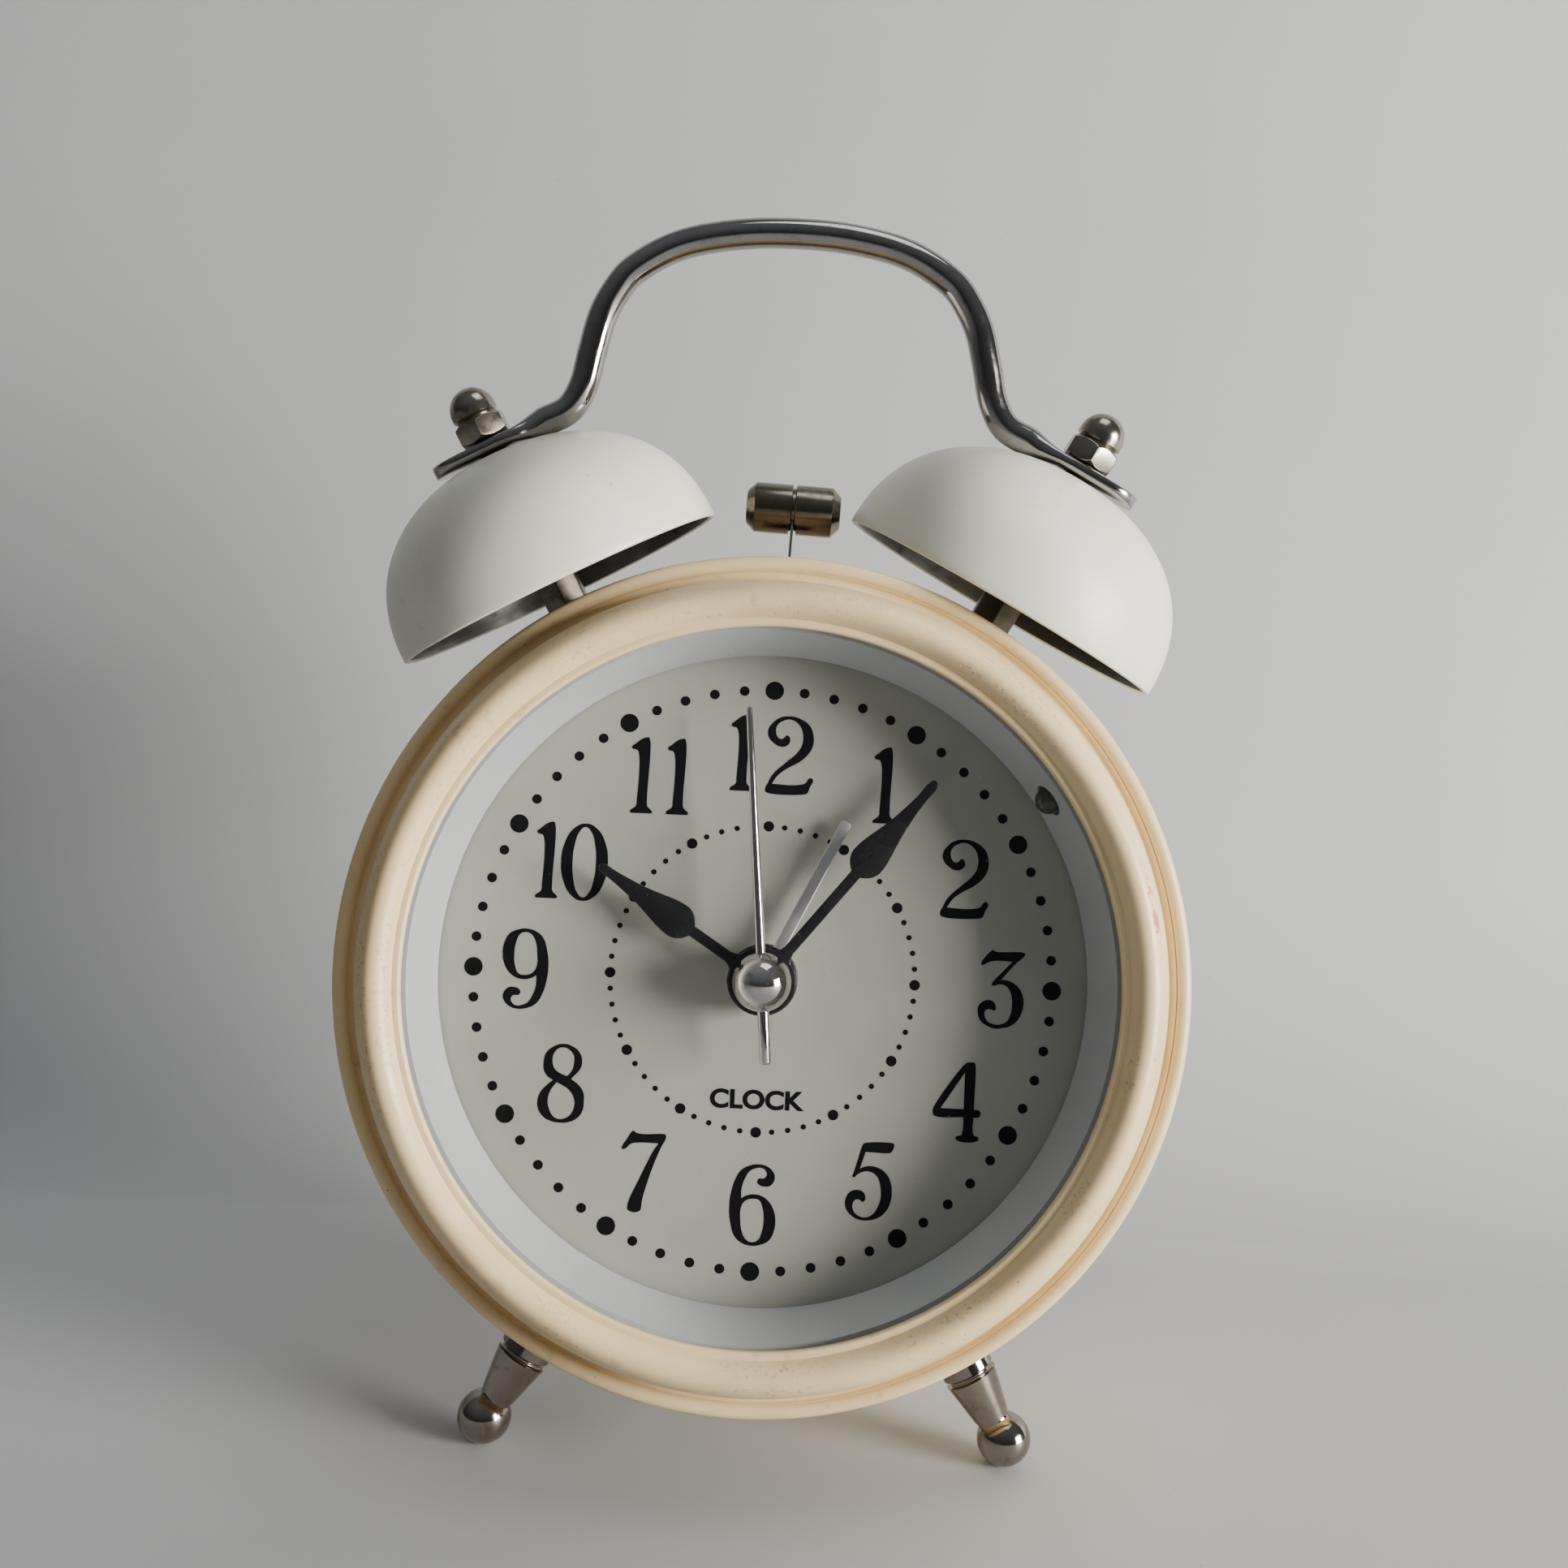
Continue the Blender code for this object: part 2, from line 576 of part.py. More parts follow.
def make_posts(dark, steel, nickel):
    """Hexagonal posts from the can up into the bells, their lock nuts and their cap nuts."""
    surface = bell_axis_at(CAN_RADIUS)
    foot = surface + lean_room(POST_FLATS) + GAP
    shoulder = BELL_HEIGHT - BELL_WALL - GAP
    nut_top = surface - CAN_WALL - lean_room(LOCK_FLATS) - 2 * GAP
    tip = TAB_TOP + GAP + NUT_HEIGHT - 0.0030
    for side, word in ((-1, "left"), (1, "right")):
        post = slab("bell_post_" + word, hexagon(POST_FLATS), foot, shoulder, dark)
        along_bell(post, side, 0.0)
        stud = rod("stud_" + word, STUD_RADIUS, nut_top - LOCK_THICK - 0.0012, tip, dark, 12)
        along_bell(stud, side, 0.0)
        join(post, stud)
        nut = slab("post_nut_" + word, hexagon(LOCK_FLATS), nut_top - LOCK_THICK, nut_top, steel)
        along_bell(nut, side, 0.0)
        drill = rod("cut_post_nut_" + word, STUD_RADIUS + GAP, nut_top - 2 * LOCK_THICK, foot, None, 12)
        cut(nut, along_bell(drill, side, 0.0))
        make_cap_nut(word, side, nickel)


def make_cap_nut(word, side, nickel):
    """A cap nut on a stud: a hexagon with a waisted neck and a dome, drilled from below."""
    low = TAB_TOP + GAP
    nut = slab("cap_nut_" + word, hexagon(NUT_FLATS), low, low + NUT_HEX, nickel)
    along_bell(nut, side, 0.0)
    straight = low + NUT_HEIGHT - NUT_DOME
    dome = [(NUT_DOME * math.cos(math.radians(a)), straight + NUT_DOME * math.sin(math.radians(a)))
            for a in (0, 25, 50, 75, 90)]
    dome[-1] = (0.0, dome[-1][1])
    cap = turned("dome_" + word, [(0, low + 0.001), (NUT_DOME, low + 0.001)] + dome, nickel, 18)
    join(nut, along_bell(cap, side, 0.0))
    drill = rod("cut_cap_" + word, STUD_RADIUS + GAP, low - 0.001, low + NUT_HEIGHT - 0.0026, None, 12)
    cut(nut, along_bell(drill, side, 0.0))


def handle_half():
    """Points on the middle of the wire, from the top of the arch to the tab, on the right."""
    tab = along_tab(TAB_NECK + 0.0030)
    inner = along_tab(TAB_NECK - 0.0005)
    shoulder_y = HANDLE_TOP - 0.0083
    return [(0.0, HANDLE_TOP), (0.0084, HANDLE_TOP - 0.0005), (0.0164, HANDLE_TOP - 0.0023),
            (0.0226, HANDLE_TOP - 0.0058), (0.0254, shoulder_y - 0.0008), (0.0273, shoulder_y - 0.0046),
            (0.0286, shoulder_y - 0.0096), (0.0297, shoulder_y - 0.0142), (0.0317, shoulder_y - 0.0177),
            tab, inner]


def along_tab(distance):
    """A point on the middle of the right tab, towards the clock's middle from the bell axis."""
    along = TAB_TOP - TAB_THICK / 2
    x = BELL_RIM_X + BELL_DIRECTION.x * along - BELL_DIRECTION.y * distance
    y = BELL_RIM_Y + BELL_DIRECTION.y * along + BELL_DIRECTION.x * distance
    return x, y


def smooth_path(points, steps):
    """A Catmull-Rom curve through points."""
    ends = [2 * points[0] - points[1]] + points + [2 * points[-1] - points[-2]]
    path = []
    for a, b, c, d in zip(ends, ends[1:], ends[2:], ends[3:]):
        for step in range(steps):
            t = step / steps
            path.append(0.5 * (2 * b + (c - a) * t + (2 * a - 5 * b + 4 * c - d) * t ** 2
                               + (3 * b - a - 3 * c + d) * t ** 3))
    return path + [points[-1]]


def make_handle(chrome):
    """The bent wire handle, whose flattened ends lie on the bells under the cap nuts."""
    half = [Vector((x, y, BELL_Z)) for x, y in handle_half()]
    mirrored = [Vector((-point.x, point.y, point.z)) for point in reversed(half[1:])]
    path = smooth_path(mirrored + half, 2)
    curve = bpy.data.curves.new("handle", 'CURVE')
    curve.dimensions = '3D'
    curve.bevel_depth = WIRE_RADIUS
    curve.bevel_resolution = 2
    curve.use_fill_caps = True
    curve.render_resolution_u = 0
    spline = curve.splines.new('POLY')
    spline.points.add(len(path) - 1)
    slim = TAB_THICK * 0.42 / WIRE_RADIUS
    flat_from = along_tab(TAB_NECK + 0.0036)[0]
    for point, spot in zip(spline.points, path):
        point.co = (*spot, 1.0)
        point.radius = slim if abs(spot.x) > flat_from else 1.0
    wire = bpy.data.objects.new("handle_wire", curve)
    bpy.context.scene.collection.objects.link(wire)
    mesh = bmesh.new()
    mesh.from_mesh(wire.to_mesh())
    bmesh.ops.remove_doubles(mesh, verts=mesh.verts, dist=1e-6)
    bmesh.ops.transform(mesh, matrix=bell_frame(), verts=mesh.verts)
    wire.to_mesh_clear()
    bpy.data.objects.remove(wire)
    handle = add("handle", mesh, chrome)
    for side, word in ((-1, "left"), (1, "right")):
        radius = TAB_WIDTH / 2
        centre = TAB_END - radius
        start = TAB_NECK + 0.0045
        outline = [(centre * side + x * side, y) for x, y in arc(radius, -90, 90, 8)]
        outline += [(-TAB_NECK * side, radius), (-start * side, WIRE_RADIUS * 0.8),
                    (-start * side, -WIRE_RADIUS * 0.8), (-TAB_NECK * side, -radius)]
        tab = slab("tab_" + word, outline, WALL_TOP, TAB_TOP, chrome)
        join(handle, along_bell(tab, side, 0.0))
        hole = rod("cut_tab_" + word, STUD_RADIUS + GAP, WALL_TOP - 0.004, TAB_TOP + 0.004, None, 12)
        cut(handle, along_bell(hole, side, 0.0))
    return handle


# ---- striker ----------------------------------------------------------------------------------

def at_pivot(item):
    """Hang an object that was made with the pivot at its origin, leaning as it rests."""
    return place(item, 0.0, PIVOT_Y, BELL_Z, (0.0, 0.0, -HAMMER_LEAN))


def make_striker(brass, spring, plastic, steel):
    """The hammer head on its flat spring, the arm that holds it and the pin it swings on."""
    reach = HAMMER_Y - PIVOT_Y
    half = HAMMER_LENGTH / 2
    face = HAMMER_RADIUS - HAMMER_CHAMFER
    groove = HAMMER_RADIUS - HEAD_GROOVE
    profile = [(0, -half), (face, -half), (HAMMER_RADIUS, -half + HAMMER_CHAMFER),
               (HAMMER_RADIUS, -STRIP_THICK / 2), (groove, -STRIP_THICK / 2),
               (groove, STRIP_THICK / 2), (HAMMER_RADIUS, STRIP_THICK / 2),
               (HAMMER_RADIUS, half - HAMMER_CHAMFER), (face, half), (0, half)]
    head = turned("hammer_head", profile, brass, 24)
    lie_across = Matrix.Translation((0, reach, 0)) @ Matrix.Rotation(math.radians(90), 4, 'Y')
    head.data.transform(lie_across)
    at_pivot(head)
    slot = block("cut_head", (-STRIP_SLOT / 2, reach - HAMMER_RADIUS - 0.001, -STRIP_WIDTH / 2 - GAP),
                 (STRIP_SLOT / 2, reach + HAMMER_RADIUS * 0.6 + GAP, STRIP_WIDTH / 2 + GAP), None)
    cut(head, at_pivot(slot))
    arm_top = 0.0090
    strip = block("hammer_strip", (-STRIP_THICK / 2, arm_top - 0.0040, -STRIP_WIDTH / 2),
                  (STRIP_THICK / 2, reach + HAMMER_RADIUS * 0.6, STRIP_WIDTH / 2), spring)
    at_pivot(strip)
    arm = block("hammer_arm", (-ARM_WIDTH / 2, -0.0035, -ARM_DEPTH / 2),
                (ARM_WIDTH / 2, arm_top, ARM_DEPTH / 2), plastic, 0.0004)
    at_pivot(arm)
    tail = block("arm_tail", (MOTOR_X + 0.0005, -0.0016, -ARM_DEPTH / 2 + 0.0003),
                 (-ARM_WIDTH / 2 + 0.001, 0.0016, ARM_DEPTH / 2 - 0.0003), plastic)
    join(arm, at_pivot(tail))
    cut(arm, at_pivot(rod("cut_pivot", PIVOT_RADIUS + SLIP, -0.008, 0.008, None, 12)),
        at_pivot(block("cut_clamp", (-STRIP_SLOT / 2, arm_top - 0.0043, -STRIP_WIDTH / 2 - GAP),
                       (STRIP_SLOT / 2, arm_top + 0.002, STRIP_WIDTH / 2 + GAP), None)))
    bracket_face = BELL_Z - ARM_DEPTH / 2 - BRACKET_GAP
    pin_top = BELL_Z + ARM_DEPTH / 2 + BRACKET_GAP
    pin = rod("hammer_pin", PIVOT_RADIUS, bracket_face + GAP, pin_top, steel, 12)
    place(pin, 0.0, PIVOT_Y, 0.0)


def make_hammer_motor(steel, plastic, can_metal):
    """The small motor beside the arm, the eccentric that knocks the arm, and their bracket."""
    bracket_face = BELL_Z - ARM_DEPTH / 2 - BRACKET_GAP
    bracket_back = bracket_face - BRACKET_THICK
    bracket = block("motor_bracket", (MOTOR_X - 0.0085, BOX_HEIGHT / 2 + 0.0020, bracket_back),
                    (0.0100, MOTOR_Y + 0.0060, bracket_face), plastic, 0.0003)
    motor_face = bracket_back - GAP
    motor_end = motor_face - MOTOR_LENGTH
    boss_face = motor_face + MOTOR_BOSS_HEIGHT
    profile = [(0, motor_end), (MOTOR_RADIUS, motor_end), (MOTOR_RADIUS, motor_face),
               (MOTOR_BOSS, motor_face), (MOTOR_BOSS, boss_face), (0, boss_face)]
    motor = turned("hammer_motor", profile, can_metal, 24)
    place(motor, MOTOR_X, MOTOR_Y)
    hole = rod("cut_motor", MOTOR_BOSS + GAP, bracket_back - 0.002, bracket_face + 0.002, None, 16)
    cut(bracket, place(hole, MOTOR_X, MOTOR_Y))
    cam_low = bracket_face + 0.0006
    disc = [(x + CAM_OFFSET, y) for x, y in arc(CAM_RADIUS, 0, 345, 23)]
    cam = slab("hammer_cam", disc, cam_low, cam_low + 0.0030, plastic)
    shaft = rod("cam_shaft", CAM_SHAFT, boss_face + GAP, cam_low + 0.0010, steel, 10)
    join(cam, place(shaft, MOTOR_X, MOTOR_Y))
    place(cam, MOTOR_X, MOTOR_Y)


# ---- movement ---------------------------------------------------------------------------------

def layer(number):
    """The front face of a wheel's plane, counted back from the front of the movement."""
    return BOX_FRONT - BOX_WALL - 0.0006 - number * LAYER


def idler_place():
    """Axis of the wheel between the minute pinion and the hour wheel."""
    return clock_point(IDLER_BEARING, IDLER_WHEEL + SET_PINION + GAP)


def third_place():
    """Axis of the wheel between the seconds pinion and the centre wheel."""
    return clock_point(THIRD_BEARING, THIRD_WHEEL + SMALL_PINION + GAP)


def relay_place():
    """Axis of the wheel between the rotor and the seconds wheel."""
    return clock_point(RELAY_BEARING, SECONDS_WHEEL + SMALL_PINION + GAP)


def rotor_place():
    """Axis of the motor's rotor."""
    relay = relay_place()
    x, y = clock_point(ROTOR_BEARING, RELAY_WHEEL + SMALL_PINION + GAP)
    return relay[0] + x, relay[1] + y


def gear(name, tip, teeth, top, thick, material):
    """A toothed disc whose tips reach the given radius."""
    outline = []
    for index in range(teeth * 2):
        radius = tip if index % 2 == 0 else tip - TOOTH
        angle = math.tau * index / (teeth * 2)
        outline.append((radius * math.cos(angle), radius * math.sin(angle)))
    return slab(name, outline, top - thick, top, material)


def make_minute_work(plastic, steel):
    """The minute arbor with its pinion, the idler and the hour wheel with its pipe."""
    arbor_top = MINUTE_HAND_Z + HAND_THICK + GAP
    arbor = tube("minute_arbor", MINUTE_SHAFT, SECOND_SHAFT + SLIP, layer(5.8), arbor_top, steel, 16)
    pinion = gear("minute_pinion", SET_PINION, 8, layer(2), WHEEL_THICK, steel)
    cut(pinion, rod("cut_minute_pinion", SECOND_SHAFT + SLIP + 0.0002, layer(4), layer(1), None, 12))
    join(arbor, pinion)
    idler = gear("idler_wheel", IDLER_WHEEL, 24, layer(2), WHEEL_THICK, plastic)
    place(idler, *idler_place())
    low = gear("idler_pinion", IDLER_PINION, 6, layer(1), 1.25 * LAYER, plastic)
    pivot = rod("idler_pivot", STEM_RADIUS - 0.0002, layer(3.4), layer(0.6), plastic, 10)
    join(idler, place(low, *idler_place()), place(pivot, *idler_place()))
    hour = gear("hour_wheel", HOUR_WHEEL, 24, layer(1), WHEEL_THICK, plastic)
    pipe_top = HOUR_HAND_Z + HAND_THICK + GAP
    join(hour, rod("hour_pipe", HOUR_SHAFT, layer(1) - WHEEL_THICK / 2, pipe_top, plastic, 20))
    cut(hour, rod("cut_hour", MINUTE_SHAFT + SLIP, layer(3), HOUR_HAND_Z + 0.003, None, 20))


def make_alarm_work(plastic):
    """The alarm wheel with its pipe."""
    wheel = gear("alarm_wheel", ALARM_WHEEL, 24, layer(0), WHEEL_THICK, plastic)
    pipe_top = ALARM_HAND_Z + HAND_THICK
    join(wheel, rod("alarm_pipe", ALARM_SHAFT, layer(0) - WHEEL_THICK / 2, pipe_top, plastic, 20))
    cut(wheel, rod("cut_alarm", HOUR_SHAFT + SLIP, layer(2), ALARM_HAND_Z + 0.003, None, 20))


def make_going_train(plastic, steel, magnet):
    """Rotor, relay wheel, seconds wheel, third wheel and centre wheel."""
    centre = gear("centre_wheel", CENTRE_WHEEL, 48, layer(4), WHEEL_THICK, plastic)
    cut(centre, rod("cut_centre", MINUTE_SHAFT + SLIP, layer(6), layer(3), None, 16))
    third = gear("third_wheel", THIRD_WHEEL, 45, layer(6), WHEEL_THICK, plastic)
    low = gear("third_pinion", SMALL_PINION, 6, layer(3.8), 2.2 * LAYER + WHEEL_THICK / 2, plastic)
    pivot = rod("third_pivot", PIVOT, layer(8), layer(3.5), plastic, 8)
    place(third, *third_place())
    join(third, place(low, *third_place()), place(pivot, *third_place()))
    seconds = gear("seconds_wheel", SECONDS_WHEEL, 36, layer(7.4), WHEEL_THICK, plastic)
    pinion = gear("seconds_pinion", SMALL_PINION, 6, layer(6), 1.6 * LAYER, plastic)
    shaft_top = SECOND_HAND_Z - SECOND_HAND_RADIUS - GAP
    shaft = rod("seconds_shaft", SECOND_SHAFT, layer(8.6), shaft_top, steel, 10)
    join(seconds, pinion, shaft)
    relay = gear("relay_wheel", RELAY_WHEEL, 30, layer(8.6), WHEEL_THICK, plastic)
    low = gear("relay_pinion", SMALL_PINION, 6, layer(7.3), 1.5 * LAYER, plastic)
    pivot = rod("relay_pivot", PIVOT, layer(9.35), layer(7.0), plastic, 8)
    place(relay, *relay_place())
    join(relay, place(low, *relay_place()), place(pivot, *relay_place()))
    rotor = gear("stepper_rotor", SMALL_PINION, 6, layer(8.2), 1.1 * LAYER, magnet)
    drum = rod("rotor_drum", ROTOR_RADIUS, layer(8.4), layer(6.6), magnet, 16)
    pivot = rod("rotor_pivot", PIVOT, layer(9.35), layer(5.9), magnet, 8)
    place(rotor, *rotor_place())
    join(rotor, place(drum, *rotor_place()), place(pivot, *rotor_place()))


def make_movement_case(plastic, board, copper, iron):
    """The movement's front shell and lid, its circuit board, coil and stator."""
    half_x = BOX_WIDTH / 2
    half_y = BOX_HEIGHT / 2
    lid_top = BOX_BACK + BOX_WALL
    shell = block("movement_shell", (-half_x, -half_y, lid_top + GAP), (half_x, half_y, BOX_FRONT),
                  plastic, 0.0008)
    cut(shell, block("cut_shell", (-half_x + BOX_WALL, -half_y + BOX_WALL, lid_top - 0.002),
                     (half_x - BOX_WALL, half_y - BOX_WALL, BOX_FRONT - BOX_WALL), None),
        rod("cut_pipe", ALARM_SHAFT + SLIP, BOX_FRONT - 0.004, BOX_FRONT + 0.002, None, 20))
    lid = block("movement_lid", (-half_x, -half_y, BOX_BACK), (half_x, half_y, lid_top), plastic)
    for word, (x, y) in knob_places().items():
        hole = rod("cut_lid_" + word, STEM_RADIUS + SLIP, BOX_BACK - 0.002, lid_top + 0.002, None, 12)
        cut(lid, place(hole, x, y))
    pillar_low = COVER_FACE + COVER_THICK + GAP
    for side, word in ((-1, "left"), (1, "right")):
        pillar = rod("pillar_" + word, 2.5 * SCREW_RADIUS, pillar_low, BOX_BACK + 0.0004, plastic, 12)
        drill = rod("cut_pillar_" + word, SCREW_RADIUS + GAP, pillar_low - 0.001,
                    COVER_FACE + SCREW_LENGTH + 0.001, None, 12)
        join(lid, place(pillar, side * SCREW_X, SCREW_Y))
        cut(lid, place(drill, side * SCREW_X, SCREW_Y))
    block("circuit_board", (half_x - 0.0085, -half_y + 0.0030, lid_top + 0.0020),
          (half_x - 0.0020, half_y - 0.0030, lid_top + 0.0036), board)
    make_coil(copper, iron)


def make_coil(copper, iron):
    """The stator plate round the rotor, with a leg through the coil."""
    x, y = rotor_place()
    low = layer(7.2)
    leg_low = y + 0.0054
    leg_high = leg_low + 0.0016
    stator = block("stator", (x - 0.0040, y - 0.0034, low), (x + 0.0100, leg_high, low + STATOR_THICK),
                   iron)
    window = block("cut_window", (x - 0.0012, y + 0.0036, low - 0.001),
                   (x + 0.0072, leg_low, low + 0.002), None)
    bore = rod("cut_stator", ROTOR_RADIUS + SLIP, low - 0.002, low + 0.003, None, 20)
    cut(stator, place(bore, x, y), window)
    middle = low + STATOR_THICK / 2
    coil = block("coil", (x - 0.0012 + GAP, leg_low - 0.0013, middle - 0.0016),
                 (x + 0.0072 - GAP, leg_high + 0.0013, middle + 0.0016), copper, 0.0005)
    cut(coil, block("cut_coil", (x - 0.0030, leg_low - GAP, low - GAP),
                    (x + 0.0090, leg_high + GAP, low + STATOR_THICK + GAP), None))


# ---- hands ------------------------------------------------------------------------------------

def spade(length, bulge_at, bulge_width, hub):
    """A slim hand that swells to a leaf and ends in a long thin point."""
    stem = 0.0006
    side = [(hub * 0.35, hub * 0.94), (stem, hub + 0.0012), (stem, bulge_at - 0.0042),
            (bulge_width * 0.55, bulge_at - 0.0024), (bulge_width, bulge_at - 0.0002),
            (bulge_width * 0.82, bulge_at + 0.0020), (bulge_width * 0.38, bulge_at + 0.0050),
            (0.00045, bulge_at + 0.0085), (0.00042, length - 0.0004), (0.0002, length)]
    round_hub = arc(hub, 110, 430, 16)[1:-1]
    left = [(-x, y) for x, y in reversed(side)]
    return side + left + round_hub


def make_hand(name, outline, bore, low, thick, angle, material):
    """A flat hand on its pipe, turned clockwise from twelve o'clock."""
    hand = slab(name, outline, 0.0, thick, material)
    place(hand, 0.0, 0.0, low, (0.0, 0.0, -angle))
    cut(hand, place(rod("cut_" + name, bore + GAP, -0.002, 0.003, None, 20), 0.0, 0.0, low))
    return hand


def make_hands(black, silver, chrome):
    """Alarm, hour, minute and second hands, and the ball in the middle."""
    slim = 0.0006
    alarm = [(slim, 0.0044), (slim * 0.7, ALARM_HAND_LENGTH), (-slim * 0.7, ALARM_HAND_LENGTH),
             (-slim, 0.0044)]
    alarm += arc(ALARM_SHAFT + 0.0009, 98, 442, 18)
    make_hand("alarm_hand", alarm, ALARM_SHAFT, ALARM_HAND_Z, 0.0005, ALARM_ANGLE, silver)
    make_hand("hour_hand", spade(HOUR_HAND_LENGTH, 0.0137, 0.0020, 0.0048), HOUR_SHAFT, HOUR_HAND_Z,
              HAND_THICK, HOUR_ANGLE, black)
    make_hand("minute_hand", spade(MINUTE_HAND_LENGTH, 0.0213, 0.0021, 0.0044), MINUTE_SHAFT, MINUTE_HAND_Z,
              HAND_THICK, MINUTE_ANGLE, black)
    needle = rod("second_hand", SECOND_HAND_RADIUS, -SECOND_HAND_TAIL, SECOND_HAND_LENGTH, chrome, 8)
    needle.data.transform(Matrix.Rotation(math.radians(-90), 4, 'X'))
    place(needle, 0.0, 0.0, SECOND_HAND_Z, (0.0, 0.0, -SECOND_ANGLE))
    cap_z = SECOND_HAND_Z + 0.0003
    low = cap_z - MINUTE_HAND_Z - HAND_THICK - 0.0005
    flat = -low
    first = math.degrees(math.asin(flat / CAP_RADIUS))
    ball = [(CAP_RADIUS * math.cos(math.radians(a)), CAP_RADIUS * math.sin(math.radians(a)))
            for a in [first + (90 - first) * step / 5 for step in range(6)]]
    ball[-1] = (0.0, CAP_RADIUS)
    cap = turned("second_hand_cap", [(0.0, flat)] + ball, chrome, 20)
    place(cap, 0.0, 0.0, cap_z, (0.0, 0.0, -SECOND_ANGLE))
    groove = rod("cut_cap", SECOND_HAND_RADIUS + GAP, -0.01, 0.01, None, 8)
    groove.data.transform(Matrix.Rotation(math.radians(-90), 4, 'X'))
    cut(cap, place(groove, 0.0, 0.0, SECOND_HAND_Z, (0.0, 0.0, -SECOND_ANGLE)),
        rod("cut_cap_shaft", SECOND_SHAFT + GAP, 0.0, SECOND_HAND_Z, None, 10))


# ---- controls on the back -----------------------------------------------------------------------

def make_knobs(plastic):
    """Fluted setting knobs on stems that reach the movement's wheels."""
    tops = {"time_set_knob": (layer(2), SET_PINION, 8), "alarm_set_knob": (layer(0), ALARM_PINION, 6)}
    for word, (x, y) in knob_places().items():
        top, radius, teeth = tops[word]
        face = COVER_FACE - 0.0006
        outline = []
        for index in range(32):
            reach = KNOB_RADIUS if index % 2 == 0 else KNOB_RADIUS - 0.0005
            angle = math.tau * index / 32
            outline.append((reach * math.cos(angle), reach * math.sin(angle)))
        knob = slab(word, outline, face - KNOB_HEIGHT, face, plastic)
        stem = rod("stem_" + word, STEM_RADIUS, face - 0.001, top, plastic, 10)
        pinion = gear("pinion_" + word, radius, teeth, top, WHEEL_THICK, plastic)
        place(knob, x, y)
        join(knob, place(stem, x, y), place(pinion, x, y))


def make_controls(plastic, dark):
    """The lamp's push button and the alarm's slide switch."""
    low = COVER_FACE - 0.0030
    inner = COVER_FACE + COVER_THICK + GAP
    flange = BUTTON_RADIUS + 0.0012
    profile = [(0, low), (BUTTON_RADIUS - 0.0005, low), (BUTTON_RADIUS, low + 0.0005),
               (BUTTON_RADIUS, inner), (flange, inner), (flange, inner + 0.0012), (0, inner + 0.0012)]
    place(turned("light_button", profile, dark, 20), BUTTON_X, BUTTON_Y)
    seat = inner + 0.0012 + BUTTON_TRAVEL + GAP
    block("light_contact", (BUTTON_X - 0.0040, BUTTON_Y - 0.0060, seat),
          (BUTTON_X + 0.0040, BUTTON_Y + 0.0060, seat + 0.0015), plastic)
    travel = SWITCH_TRAVEL / 2
    slide = block("alarm_switch", (-0.0013 - travel, SWITCH_Y - 0.0013, COVER_FACE - 0.0022),
                  (0.0013 - travel, SWITCH_Y + 0.0013, inner + 0.0004), dark, 0.0002)
    foot = block("switch_foot", (-0.0034 - travel, SWITCH_Y - 0.0028, inner + 0.0002),
                 (0.0034 - travel, SWITCH_Y + 0.0028, inner + 0.0012), dark)
    join(slide, foot)
    block("alarm_contact", (-0.0085, SWITCH_Y - 0.0040, inner + 0.0016),
          (0.0085, SWITCH_Y + 0.0040, inner + 0.0031), plastic)


def make_battery(plastic, cell, steel):
    """The cell, its two contacts and the door that slides down."""
    middle = COVER_FACE + CELL_RADIUS + GAP
    half = CELL_LENGTH / 2
    profile = [(0, -half), (CELL_RADIUS, -half), (CELL_RADIUS, half - 0.0012), (0.0027, half - 0.0012),
               (0.0027, half), (0, half)]
    battery = turned("battery_cell", profile, cell, 24)
    battery.data.transform(Matrix.Rotation(math.radians(90), 4, 'Y'))
    place(battery, 0.0, BAY_Y, middle)
    half_x, half_y = bay_half()
    for side, word in ((-1, "minus"), (1, "plus")):
        near = half + 0.0008
        far = half_x - GAP
        low, high = sorted((side * near, side * far))
        block("contact_" + word, (low, BAY_Y - 0.0045, middle - 0.0050),
              (high, BAY_Y + 0.0045, middle + 0.0050), steel)
    lap_x = half_x + DOOR_LAP
    lap_y = half_y + DOOR_LAP
    door_top = COVER_FACE - GAP
    door_face = door_top - DOOR_THICK
    door = block("battery_door", (-lap_x, BAY_Y - lap_y, door_face), (lap_x, BAY_Y + lap_y, door_top),
                 plastic, 0.0003)
    for index in range(3):
        edge = BAY_Y + 0.0045 + 0.0014 * index
        join(door, block("grip_%d" % index, (-0.0060, edge, door_face - 0.0004),
                         (0.0060, edge + 0.0007, door_face + 0.0003), plastic))


# ---- the whole clock ------------------------------------------------------------------------------

def lean_angle():
    """How far the clock leans back, from its two feet and its heel resting on one plane."""
    foot_y = -FOOT_REACH * math.cos(math.radians(FOOT_ANGLE))
    run = FOOT_Z - heel_middle()
    rise = -HEEL_DROP - foot_y
    return math.asin(FOOT_BALL / math.hypot(run, rise)) + math.atan2(rise, run)


